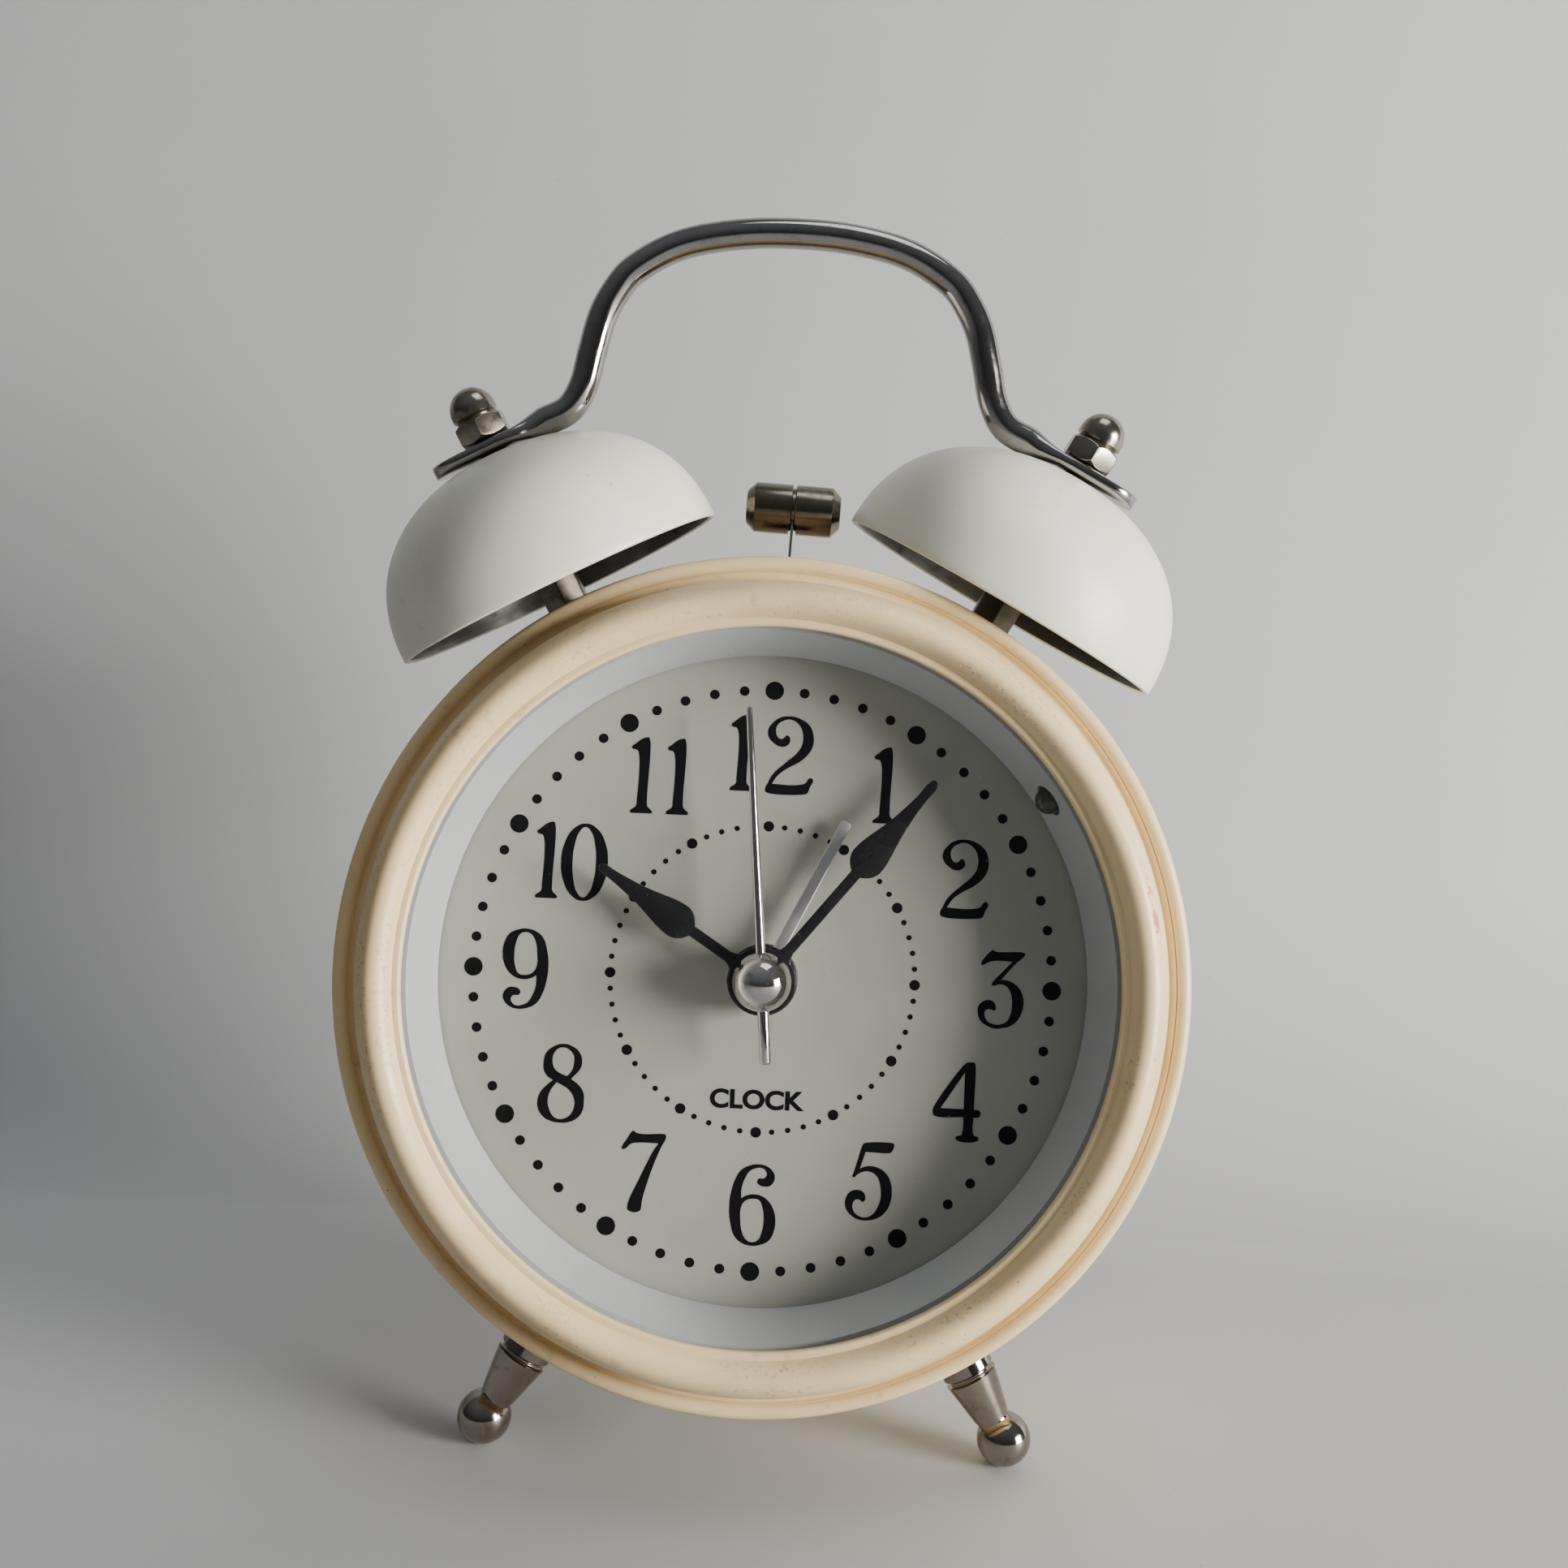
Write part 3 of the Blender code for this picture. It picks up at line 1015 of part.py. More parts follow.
def stand_up(frame):
    """Lean the dial frame back, and put the middle of the clock's footprint at the origin."""
    frame.rotation_euler = (math.radians(90) - lean_angle(), 0.0, 0.0)
    bpy.context.view_layer.update()
    depsgraph = bpy.context.evaluated_depsgraph_get()
    lows = Vector((math.inf,) * 3)
    highs = Vector((-math.inf,) * 3)
    for item in bpy.data.objects:
        if item.type != 'MESH' or item.hide_render:
            continue
        shape = item.evaluated_get(depsgraph)
        for vert in shape.data.vertices:
            spot = shape.matrix_world @ vert.co
            lows = Vector(map(min, lows, spot))
            highs = Vector(map(max, highs, spot))
    frame.location = (-(lows.x + highs.x) / 2, -(lows.y + highs.y) / 2, -lows.z)


clear_scene()
dial_frame = bpy.data.objects.new("dial_frame", None)
bpy.context.scene.collection.objects.link(dial_frame)

CREAM = finish("cream_paint", (0.83, 0.72, 0.55), 0.42)
WHITE = finish("white_paint", (0.80, 0.79, 0.74), 0.40)
CHROME = finish("chrome", (0.62, 0.60, 0.58), 0.12, 1.0)
NICKEL = finish("nickel", (0.48, 0.44, 0.38), 0.28, 1.0)
STEEL = finish("steel", (0.40, 0.38, 0.35), 0.40, 1.0)
DARK_STEEL = finish("dark_steel", (0.20, 0.18, 0.15), 0.45, 1.0)
SPRING = finish("spring_steel", (0.35, 0.34, 0.33), 0.30, 1.0)
GLASS = finish("glass", (0.95, 0.97, 0.97), 0.02, 0.0, 0.15)
DIAL = finish("dial_paper", (0.72, 0.72, 0.68), 0.60)
MILKY = finish("milky_plastic", (0.56, 0.60, 0.66), 0.35)
BLACK = finish("black_plastic", (0.012, 0.012, 0.013), 0.35)
IVORY = finish("ivory_plastic", (0.78, 0.70, 0.56), 0.50)
CASTING = finish("white_plastic", (0.75, 0.75, 0.72), 0.50)
LENS = finish("lamp_lens", (0.75, 0.75, 0.70), 0.10)
BOARD = finish("circuit_board", (0.05, 0.22, 0.09), 0.50)
COPPER = finish("copper", (0.72, 0.35, 0.18), 0.30, 1.0)
IRON = finish("soft_iron", (0.33, 0.33, 0.34), 0.45, 1.0)
MAGNET = finish("magnet", (0.10, 0.10, 0.11), 0.40)
CELL = finish("cell_jacket", (0.04, 0.10, 0.25), 0.35)

make_bezel(CREAM)
make_can(CREAM)
make_glass(GLASS)
make_reflector(MILKY)
make_dial(DIAL)
make_lamp(LENS, CASTING)
make_rear_cover(IVORY)
make_screws(STEEL)
make_feet(CHROME, STEEL)
make_bells(WHITE)
make_posts(DARK_STEEL, STEEL, NICKEL)
make_handle(CHROME)
make_striker(NICKEL, SPRING, CASTING, STEEL)
make_hammer_motor(STEEL, CASTING, STEEL)
make_minute_work(CASTING, STEEL)
make_alarm_work(CASTING)
make_going_train(CASTING, STEEL, MAGNET)
make_movement_case(BLACK, BOARD, COPPER, IRON)
make_hands(BLACK, SPRING, CHROME)
make_knobs(BLACK)
make_controls(CASTING, BLACK)
make_battery(IVORY, CELL, SPRING)
stand_up(dial_frame)
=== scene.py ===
"""The looks of a twin-bell quartz alarm clock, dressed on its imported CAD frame.

Pieces are shaped in the dial frame: X to the right, Y up to twelve o'clock and Z out of the dial
towards the reader, with the origin at the middle of the dial's face. Lengths are metres and angles
are degrees, except in outlines and numerals, which are millimetres. A side is -1 for the left and
1 for the right, as the reader sees them.
"""

import json
import logging
import math
from collections.abc import Sequence
from dataclasses import dataclass, field, replace
from enum import Enum

import bmesh
import bpy
from mathutils import Matrix, Vector

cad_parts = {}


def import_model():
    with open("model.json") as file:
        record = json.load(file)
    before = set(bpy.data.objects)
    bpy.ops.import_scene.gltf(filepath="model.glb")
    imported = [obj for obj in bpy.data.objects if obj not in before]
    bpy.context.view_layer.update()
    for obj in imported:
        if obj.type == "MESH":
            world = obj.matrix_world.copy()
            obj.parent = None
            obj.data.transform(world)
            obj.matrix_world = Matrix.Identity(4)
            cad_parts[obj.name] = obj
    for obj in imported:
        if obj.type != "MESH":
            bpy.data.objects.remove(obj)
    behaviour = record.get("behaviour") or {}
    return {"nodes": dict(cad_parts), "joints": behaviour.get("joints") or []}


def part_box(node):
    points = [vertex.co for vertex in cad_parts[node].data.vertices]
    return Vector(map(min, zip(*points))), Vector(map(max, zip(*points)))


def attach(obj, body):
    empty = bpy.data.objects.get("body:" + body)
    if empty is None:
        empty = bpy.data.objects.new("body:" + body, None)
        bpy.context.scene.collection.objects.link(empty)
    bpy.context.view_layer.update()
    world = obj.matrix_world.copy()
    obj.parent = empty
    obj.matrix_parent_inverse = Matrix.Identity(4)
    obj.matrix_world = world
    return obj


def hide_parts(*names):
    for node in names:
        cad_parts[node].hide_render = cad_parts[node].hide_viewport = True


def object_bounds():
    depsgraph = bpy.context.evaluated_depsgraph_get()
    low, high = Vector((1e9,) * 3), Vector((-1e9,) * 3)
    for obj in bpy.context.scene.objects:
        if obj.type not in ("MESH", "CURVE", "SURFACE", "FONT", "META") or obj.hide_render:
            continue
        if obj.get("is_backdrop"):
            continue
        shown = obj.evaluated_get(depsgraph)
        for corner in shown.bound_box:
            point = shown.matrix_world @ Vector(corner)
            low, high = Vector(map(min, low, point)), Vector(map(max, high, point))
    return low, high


LOG = logging.getLogger("clock")
MM = 0.001
SIDES = {-1: "left", 1: "right"}
FINE = 160               # facets round the case
MERGE = 1e-7             # vertices closer than this are one
CAD_MERGE = 1e-6         # the same, for a CAD node's own mesh
FLAT = 1.0               # faces of a CAD node that turn by less are one
RIM_X = 0.0322           # the middle of a bell's rim
RIM_Y = 0.0550
BELL_Z = -0.0120
BELL_TILT = 28.1         # away from twelve o'clock
BELL_LEAN = 9.6          # forward of the dial, with the posts and the handle

Colour = tuple[float, float, float]
Point = tuple[float, float]
Socket = bpy.types.NodeSocket
Shape = bmesh.types.BMesh


class Slot(Enum):
    """The record's material slots."""

    CREAM = "cream_paint"
    WHITE = "white_paint"
    CHROME = "chrome"
    NICKEL = "nickel"
    STEEL = "steel"
    DARK_STEEL = "dark_steel"
    SPRING = "spring_steel"
    GLASS = "glass"
    DIAL = "dial_paper"
    MILKY = "milky_plastic"
    BLACK = "black_plastic"
    IVORY = "ivory_plastic"
    CASTING = "white_plastic"
    LENS = "lamp_lens"
    BOARD = "circuit_board"
    COPPER = "copper"
    IRON = "soft_iron"
    MAGNET = "magnet"
    CELL = "cell_jacket"


class Body(Enum):
    """The CAD bodies that new pieces ride on."""

    ROOT = "root"
    MINUTE = "minute"
    HOUR = "hour"
    ALARM = "alarm"
    SECOND = "second"
    STRIKER = "striker"
    TIME_KNOB = "time_knob"
    ALARM_KNOB = "alarm_knob"
    LAMP_PUSH = "lamp_push"
    ALARM_SLIDE = "alarm_slide"
    DOOR = "door"


class Carving(Enum):
    """What a second shape does to the first one."""

    TAKE_AWAY = "DIFFERENCE"
    KEEP_SHARED = "INTERSECT"


# ---- places --------------------------------------------------------------------------------------

@dataclass(frozen=True)
class DialFrame:
    """Where the dial stands in the clock's own frame."""

    matrix: Matrix

    @classmethod
    def from_joints(cls, joints: list[dict]) -> "DialFrame":
        """Work the dial frame out from the minute hand's joint.

        Args:
            joints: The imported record's joints.

        Returns:
            The dial frame.
        """
        joint = next(item for item in joints if item["name"] == "minute_turn")
        out = -Vector(joint["axis"]).normalized()
        right = Vector((1.0, 0.0, 0.0))
        matrix = Matrix((right, out.cross(right), out)).transposed().to_4x4()
        matrix.translation = Vector(joint["pos_m"])
        return cls(matrix)


def turn(angle: float, axis: str) -> Matrix:
    """A turn by an angle about one of the axes."""
    return Matrix.Rotation(math.radians(angle), 4, axis)


def shift(x: float = 0.0, y: float = 0.0, z: float = 0.0) -> Matrix:
    """A move along the axes."""
    return Matrix.Translation((x, y, z))


def clock_point(angle: float, radius: float) -> Point:
    """The point at an angle clockwise from twelve o'clock, and at a radius."""
    return radius * math.sin(math.radians(angle)), radius * math.cos(math.radians(angle))


def radial(angle: float, radius: float, z: float) -> Matrix:
    """A place whose local Z points out from the clock's axis at a clock angle."""
    return shift(*clock_point(angle, radius), z) @ turn(-angle, "Z") @ turn(-90, "X")


def arc(middle: Point, reach: Point, first: float, last: float, steps: int) -> list[Point]:
    """Points on an arc of an ellipse.

    Args:
        middle: The ellipse's middle.
        reach: Its two half axes.
        first: The angle of the first point, anticlockwise from the first axis.
        last: The angle of the last point.
        steps: How many steps there are between the two.

    Returns:
        The points, both ends included.
    """
    angles = [math.radians(first + (last - first) * step / steps) for step in range(steps + 1)]
    return [(middle[0] + reach[0] * math.cos(a), middle[1] + reach[1] * math.sin(a)) for a in angles]


# ---- shapes --------------------------------------------------------------------------------------

def on_axis(profile: Sequence[Point]) -> list[Point]:
    """A profile with its first and last points put on the axis."""
    return [(0.0, profile[0][1]), *profile[1:-1], (0.0, profile[-1][1])]


def spun(profile: Sequence[Point], segments: int = FINE) -> Shape:
    """Turn a profile of (radius, z) about Z.

    Args:
        profile: Points that start and end on the axis, or a ring's closed outline.
        segments: How many facets go round.

    Returns:
        The closed shape.
    """
    shape = bmesh.new()
    points = [shape.verts.new((radius, 0.0, z)) for radius, z in profile]
    edges = [shape.edges.new(pair) for pair in zip(points, points[1:])]
    if profile[0][0] > 0:
        edges.append(shape.edges.new((points[-1], points[0])))
    bmesh.ops.spin(shape, geom=points + edges, axis=(0, 0, 1), cent=(0, 0, 0), dvec=(0, 0, 0),
                   angle=math.tau, steps=segments, use_merge=True)
    bmesh.ops.remove_doubles(shape, verts=shape.verts, dist=MERGE)
    return shape


def bar(radius: float, low: float, high: float, segments: int = 32) -> Shape:
    """A plain bar along Z, round unless it has few sides."""
    shape = bmesh.new()
    bmesh.ops.create_cone(shape, cap_ends=True, segments=segments, radius1=radius, radius2=radius,
                          depth=high - low, matrix=shift(z=(low + high) / 2))
    return shape


def brick(low: Sequence[float], high: Sequence[float]) -> Shape:
    """A box between two corners."""
    shape = bmesh.new()
    size = [b - a for a, b in zip(low, high)]
    middle = [(a + b) / 2 for a, b in zip(low, high)]
    place = Matrix.Translation(middle) @ Matrix.Diagonal((*size, 1.0))
    bmesh.ops.create_cube(shape, size=1.0, matrix=place)
    return shape


def hexagon_bar(flats: float, low: float, high: float) -> Shape:
    """A hexagonal bar along Z, from its width across flats."""
    return bar(flats / math.sqrt(3), low, high, 6)


def round_edges(shape: Shape, width: float, segments: int = 2, angle: float = 30.0) -> Shape:
    """Round the edges that turn by more than an angle."""
    edges = [edge for edge in shape.edges if len(edge.link_faces) == 2
             and edge.calc_face_angle(0.0) > math.radians(angle)]
    bmesh.ops.bevel(shape, geom=edges, offset=width, offset_type='OFFSET', segments=segments,
                    profile=0.5, affect='EDGES', material=-1, clamp_overlap=True)
    return shape


def merged(*shapes: Shape) -> Shape:
    """Put several shapes in one, and free the others."""
    first, *others = shapes
    for other in others:
        mesh = bpy.data.meshes.new("part_shape")
        other.to_mesh(mesh)
        other.free()
        first.from_mesh(mesh)
        bpy.data.meshes.remove(mesh)
    return first


def moved(shape: Shape, place: Matrix) -> Shape:
    """Move a shape by a matrix."""
    bmesh.ops.transform(shape, matrix=place, verts=shape.verts)
    return shape


def solid_of(item: bpy.types.Object) -> Shape:
    """The shape that an object has after its modifiers, after which the object is removed."""
    bpy.context.view_layer.update()
    depsgraph = bpy.context.evaluated_depsgraph_get()
    mesh = bpy.data.meshes.new_from_object(item.evaluated_get(depsgraph))
    shape = bmesh.new()
    shape.from_mesh(mesh)
    bpy.data.meshes.remove(mesh)
    bpy.data.objects.remove(item)
    return shape


def rough_object(shape: Shape) -> bpy.types.Object:
    """A short-lived object for a shape."""
    mesh = bpy.data.meshes.new("rough")
    shape.to_mesh(mesh)
    shape.free()
    item = bpy.data.objects.new("rough", mesh)
    bpy.context.scene.collection.objects.link(item)
    return item


def carve(shape: Shape, tool: Shape, carving: Carving = Carving.TAKE_AWAY) -> Shape:
    """Carve one shape with another.

    Args:
        shape: The shape that is kept.
        tool: The shape that carves it.
        carving: Whether the tool is taken away or only the shared part is kept.

    Returns:
        The carved shape.
    """
    item = rough_object(shape)
    other = rough_object(tool)
    modifier = item.modifiers.new("carve", 'BOOLEAN')
    modifier.operation = carving.value
    modifier.object = other
    modifier.solver = 'EXACT'
    carved = solid_of(item)
    bpy.data.objects.remove(other)
    return carved


@dataclass(frozen=True)
class Outline:
    """A closed outline in millimetres, drawn with a smooth curve and a few corners.

    A point is (x, y) where the curve runs on smoothly, and (x, y, "corner") at a corner.
    """

    points: tuple
    scale: float = 1.0

    def draw(self, curve: bpy.types.Curve) -> None:
        """Add the outline to a flat curve."""
        spline = curve.splines.new('BEZIER')
        spline.bezier_points.add(len(self.points) - 1)
        for knot, (x, y, *corner) in zip(spline.bezier_points, self.points):
            knot.co = (x * self.scale, y * self.scale, 0.0)
            handle = 'VECTOR' if corner else 'AUTO'
            knot.handle_left_type = handle
            knot.handle_right_type = handle
        spline.use_cyclic_u = True


def ellipse(x: float, y: float, across: float, up: float, knots: int = 8) -> Outline:
    """An elliptical outline about a middle, from its two half axes."""
    return Outline(tuple(arc((x, y), (across, up), 0, 360, knots)[:-1]))


def cut_out(outlines: Sequence[Outline], thick: float, edge: float = 0.0) -> Shape:
    """Cut flat outlines from a sheet that lies on the XY plane.

    Args:
        outlines: The outer outline and the holes inside it, in millimetres.
        thick: The sheet's thickness in millimetres.
        edge: How far its edges are rounded, in millimetres.

    Returns:
        The sheet in metres, from z = 0 to its thickness.
    """
    curve = bpy.data.curves.new("outline", 'CURVE')
    curve.dimensions = '2D'
    curve.fill_mode = 'BOTH'
    curve.resolution_u = 6
    curve.extrude = thick / 2 - edge
    curve.bevel_depth = edge
    curve.bevel_resolution = 2
    curve.offset = -edge
    for outline in outlines:
        outline.draw(curve)
    item = bpy.data.objects.new("outline", curve)
    bpy.context.scene.collection.objects.link(item)
    shape = solid_of(item)
    bpy.data.curves.remove(curve)
    bmesh.ops.remove_doubles(shape, verts=shape.verts, dist=1e-4)
    return moved(shape, Matrix.Scale(MM, 4) @ shift(z=thick / 2))


# ---- node trees ----------------------------------------------------------------------------------

class Tree:
    """A material's nodes, with short calls for those that the finishes share."""

    def __init__(self, name: str) -> None:
        """Start a material with one Principled shader."""
        self.material = bpy.data.materials.new(name)
        self.material.use_nodes = True
        self.nodes = self.material.node_tree.nodes
        self.links = self.material.node_tree.links
        self.shader = self.nodes["Principled BSDF"]
        self.place = self.nodes.new("ShaderNodeTexCoord").outputs["Object"]

    def feed(self, socket: Socket, value: Socket | float | Sequence[float]) -> None:
        """Link a socket to another, or set its own value."""
        if isinstance(value, bpy.types.NodeSocket):
            self.links.new(value, socket)
        elif socket.type == 'RGBA':
            socket.default_value = (*value, 1.0)
        else:
            socket.default_value = value

    def finish(self, **values: Socket | float | Sequence[float]) -> bpy.types.Material:
        """Set the shader's inputs, named with underscores for spaces, and return the material."""
        for name, value in values.items():
            self.feed(self.shader.inputs[name.replace("_", " ")], value)
        return self.material

    def mapped(self, matrix: Matrix, scale: Sequence[float] = (1.0, 1.0, 1.0)) -> Socket:
        """Object coordinates as another frame sees them, then stretched by a scale.

        Args:
            matrix: Where that frame lies.
            scale: How many times each of its axes is stretched.

        Returns:
            The vector socket.
        """
        inverse = matrix.inverted()
        node = self.nodes.new("ShaderNodeMapping")
        node.inputs["Location"].default_value = inverse.translation
        node.inputs["Rotation"].default_value = inverse.to_euler()
        self.feed(node.inputs["Vector"], self.place)
        if tuple(scale) == (1.0, 1.0, 1.0):
            return node.outputs[0]
        stretch = self.nodes.new("ShaderNodeMapping")
        stretch.inputs["Scale"].default_value = scale
        self.feed(stretch.inputs["Vector"], node.outputs[0])
        return stretch.outputs[0]

    def noise(self, scale: float, detail: float = 2.0, rough: float = 0.5,
              vector: Socket | None = None) -> Socket:
        """A noise of that many features in a metre."""
        node = self.nodes.new("ShaderNodeTexNoise")
        self.feed(node.inputs["Vector"], self.place if vector is None else vector)
        node.inputs["Scale"].default_value = scale
        node.inputs["Detail"].default_value = detail
        node.inputs["Roughness"].default_value = rough
        return node.outputs[0]

    def cells(self, scale: float, vector: Socket | None = None) -> Socket:
        """The distance to the nearest of scattered points."""
        node = self.nodes.new("ShaderNodeTexVoronoi")
        self.feed(node.inputs["Vector"], self.place if vector is None else vector)
        node.inputs["Scale"].default_value = scale
        return node.outputs["Distance"]

    def maths(self, operation: str, first: Socket | float, second: Socket | float = 0.0) -> Socket:
        """One sum on one or two values."""
        node = self.nodes.new("ShaderNodeMath")
        node.operation = operation
        self.feed(node.inputs[0], first)
        self.feed(node.inputs[1], second)
        return node.outputs[0]

    def times(self, first: Socket | float, second: Socket | float) -> Socket:
        """One value times another."""
        return self.maths('MULTIPLY', first, second)

    def step(self, value: Socket, low: float, high: float, at_low: float = 0.0,
             at_high: float = 1.0) -> Socket:
        """Ease from one value to another as the input goes from low to high."""
        node = self.nodes.new("ShaderNodeMapRange")
        node.interpolation_type = 'SMOOTHSTEP'
        self.feed(node.inputs["Value"], value)
        for name, number in zip(("From Min", "From Max", "To Min", "To Max"),
                                (low, high, at_low, at_high)):
            node.inputs[name].default_value = number
        return node.outputs["Result"]

    def band(self, value: Socket, middle: float, half: float) -> Socket:
        """One near a value, and easing to zero at half a width either side of it."""
        off = self.maths('ABSOLUTE', self.maths('SUBTRACT', value, middle))
        return self.step(off, half * 0.3, half, 1.0, 0.0)

    def clouded(self, scale: float, low: float = 0.35, high: float = 0.7) -> Socket:
        """Soft clouds of that many in a metre, from 0 to 1."""
        return self.step(self.noise(scale, 4, 0.6), low, high)

    def varied(self, scale: float, detail: float, least: float, most: float) -> Socket:
        """A value that wanders between two others."""
        return self.step(self.noise(scale, detail), 0.3, 0.7, least, most)

    def specks(self, scale: float, edge: Point, patches: float, bare: Point) -> Socket:
        """Scattered specks that come in patches.

        Args:
            scale: How many specks lie along a metre.
            edge: A speck's outer and inner radius, as shares of its cell.
            patches: How many patches lie along a metre.
            bare: The patch noise below which there are none, and above which there are all.

        Returns:
            One on a speck and zero off it.
        """
        return self.times(self.step(self.cells(scale), *edge), self.step(self.noise(patches, 1), *bare))

    def mix(self, share: Socket | float, first: Socket | Colour, second: Socket | Colour) -> Socket:
        """Blend two colours."""
        node = self.nodes.new("ShaderNodeMix")
        node.data_type = 'RGBA'
        self.feed(node.inputs[0], share)
        self.feed(node.inputs[6], first)
        self.feed(node.inputs[7], second)
        return node.outputs[2]

    def bump(self, height: Socket, depth: float, strength: float = 1.0) -> Socket:
        """Turn a height into a normal, from its depth in metres."""
        node = self.nodes.new("ShaderNodeBump")
        node.inputs["Strength"].default_value = strength
        node.inputs["Distance"].default_value = depth
        self.feed(node.inputs["Height"], height)
        return node.outputs["Normal"]

    def polar(self, vector: Socket) -> tuple[Socket, Socket, Socket]:
        """The distance from the Z axis, the clockwise angle from Y in radians, and Z."""
        apart = self.nodes.new("ShaderNodeSeparateXYZ")
        self.feed(apart.inputs[0], vector)
        x, y, z = apart.outputs[:]
        square = self.maths('ADD', self.times(x, x), self.times(y, y))
        return self.maths('SQRT', square), self.maths('ARCTAN2', x, y), z


# ---- finishes ------------------------------------------------------------------------------------

@dataclass(frozen=True)
class Finish:
    """A named finish."""

    name: str

    def build(self) -> bpy.types.Material:
        """Make the material."""
        raise NotImplementedError


@dataclass(frozen=True)
class SatinPaint(Finish):
    """Sprayed satin paint with a little dirt in it."""

    colour: Colour
    shaded: Colour
    dirt: Colour = (0.20, 0.15, 0.11)
    rough: float = 0.40
    dirt_share: float = 0.5
    speck_share: float = 0.75

    def painted(self, tree: Tree) -> Socket:
        """The paint's colour, clouded and specked."""
        colour = tree.mix(tree.clouded(55, 0.35, 0.72), self.colour, self.shaded)
        grime = tree.times(tree.step(tree.noise(420, 5, 0.62), 0.56, 0.80),
                           tree.step(tree.noise(38, 2), 0.42, 0.70))
        colour = tree.mix(tree.times(grime, self.dirt_share), colour, self.dirt)
        specks = tree.specks(520, (0.09, 0.05), 110, (0.60, 0.66))
        return tree.mix(tree.times(specks, self.speck_share), colour, self.dirt)

    def surface(self, tree: Tree) -> dict:
        """The paint's gloss and its orange-peel skin."""
        skin = tree.maths('ADD', tree.noise(900, 2), tree.times(tree.noise(4500, 2), 0.3))
        return {"Roughness": tree.varied(160, 3, self.rough - 0.05, self.rough + 0.09),
                "Normal": tree.bump(skin, 0.00003, 0.35), "Coat_Weight": 0.12, "Coat_Roughness": 0.25}

    def build(self) -> bpy.types.Material:
        """Make the material."""
        tree = Tree(self.name)
        return tree.finish(Base_Color=self.painted(tree), **self.surface(tree))


@dataclass(frozen=True)
class RubbedPaint(SatinPaint):
    """The bezel's paint, with brown rubbing along its ridge and red marks at its sides."""

    dial: DialFrame = field(default=None)
    ridge: float = 0.0541
    inner_ridge: float = 0.0492
    front: Point = (0.0085, 0.0105)
    rubbed: Colour = (0.46, 0.30, 0.20)
    worn: Colour = (0.22, 0.12, 0.08)
    red: Colour = (0.55, 0.05, 0.07)
    red_marks: tuple = ((-68.0, 0.0537, 19.0), (76.0, 0.0519, 8.0))

    def build(self) -> bpy.types.Material:
        """Make the material."""
        tree = Tree(self.name)
        radius, angle, height = tree.polar(tree.mapped(self.dial.matrix))
        front = tree.step(height, *self.front)
        colour = self.painted(tree)
        crumbs = tree.step(tree.noise(1500, 4, 0.7), 0.54, 0.62)
        patches = tree.times(tree.step(tree.noise(60, 3), 0.46, 0.60), front)
        soft = tree.times(tree.band(radius, self.ridge, 0.0014), patches)
        colour = tree.mix(tree.times(soft, 0.10), colour, self.rubbed)
        for place, share in ((self.ridge, 0.75), (self.ridge - 0.0022, 0.45), (self.inner_ridge, 0.45)):
            worn = tree.times(tree.band(radius, place, 0.0011), crumbs)
            worn = tree.times(tree.times(worn, patches), share)
            colour = tree.mix(worn, colour, self.worn)
        for middle, reach, half in self.red_marks:
            mark = tree.times(tree.band(angle, math.radians(middle), math.radians(half)),
                              tree.band(radius, reach, 0.0007))
            mark = tree.times(mark, tree.step(tree.noise(700, 3, 0.7), 0.50, 0.56))
            mark = tree.times(mark, front)
            colour = tree.mix(tree.times(mark, 0.8), colour, self.red)
        return tree.finish(Base_Color=colour, **self.surface(tree))


@dataclass(frozen=True)
class Metal(Finish):
    """Plated or bare metal, smudged, tarnished and finely scratched."""

    colour: Colour
    tarnish: Colour
    polish: float = 0.12
    dull: float = 0.30
    tarnish_share: float = 0.35
    pitting: float = 0.2
    brushed: tuple | None = None
    place: Matrix | None = None

    def build(self) -> bpy.types.Material:
        """Make the material."""
        tree = Tree(self.name)
        smudges = tree.clouded(130, 0.38, 0.72)
        stains = tree.step(tree.noise(480, 5, 0.65), 0.46, 0.72)
        faint = tree.times(smudges, 0.6)
        colour = tree.mix(tree.times(tree.maths('MAXIMUM', faint, stains), self.tarnish_share),
                          self.colour, self.tarnish)
        height = tree.noise(2600, 3, 0.6)
        if self.brushed:
            lines = tree.mapped(self.place or Matrix.Identity(4), self.brushed)
            height = tree.noise(60, 3, 0.7, lines)
            colour = tree.mix(tree.step(height, 0.35, 0.65, 0.0, 0.35), colour, self.tarnish)
        dirt = tree.maths('ADD', faint, tree.times(stains, 0.4))
        return tree.finish(Base_Color=colour, Metallic=1.0,
                           Roughness=tree.step(dirt, 0.1, 0.9, self.polish, self.dull),
                           Normal=tree.bump(height, 0.00001, self.pitting))


@dataclass(frozen=True)
class Moulded(Finish):
    """Moulded plastic with a fine grain."""

    colour: Colour
    shaded: Colour
    rough: float = 0.45
    grain: float = 0.35
    dust: Colour = (0.35, 0.33, 0.30)

    def build(self) -> bpy.types.Material:
        """Make the material."""
        tree = Tree(self.name)
        colour = tree.mix(tree.clouded(70), self.colour, self.shaded)
        dust = tree.specks(900, (0.12, 0.05), 150, (0.58, 0.66))
        colour = tree.mix(tree.times(dust, 0.35), colour, self.dust)
        height = tree.maths('ADD', tree.noise(5200, 2), tree.times(tree.noise(1100, 2), 0.5))
        return tree.finish(Base_Color=colour, Normal=tree.bump(height, 0.00003, self.grain),
                           Roughness=tree.varied(240, 3, self.rough - 0.06, self.rough + 0.08))


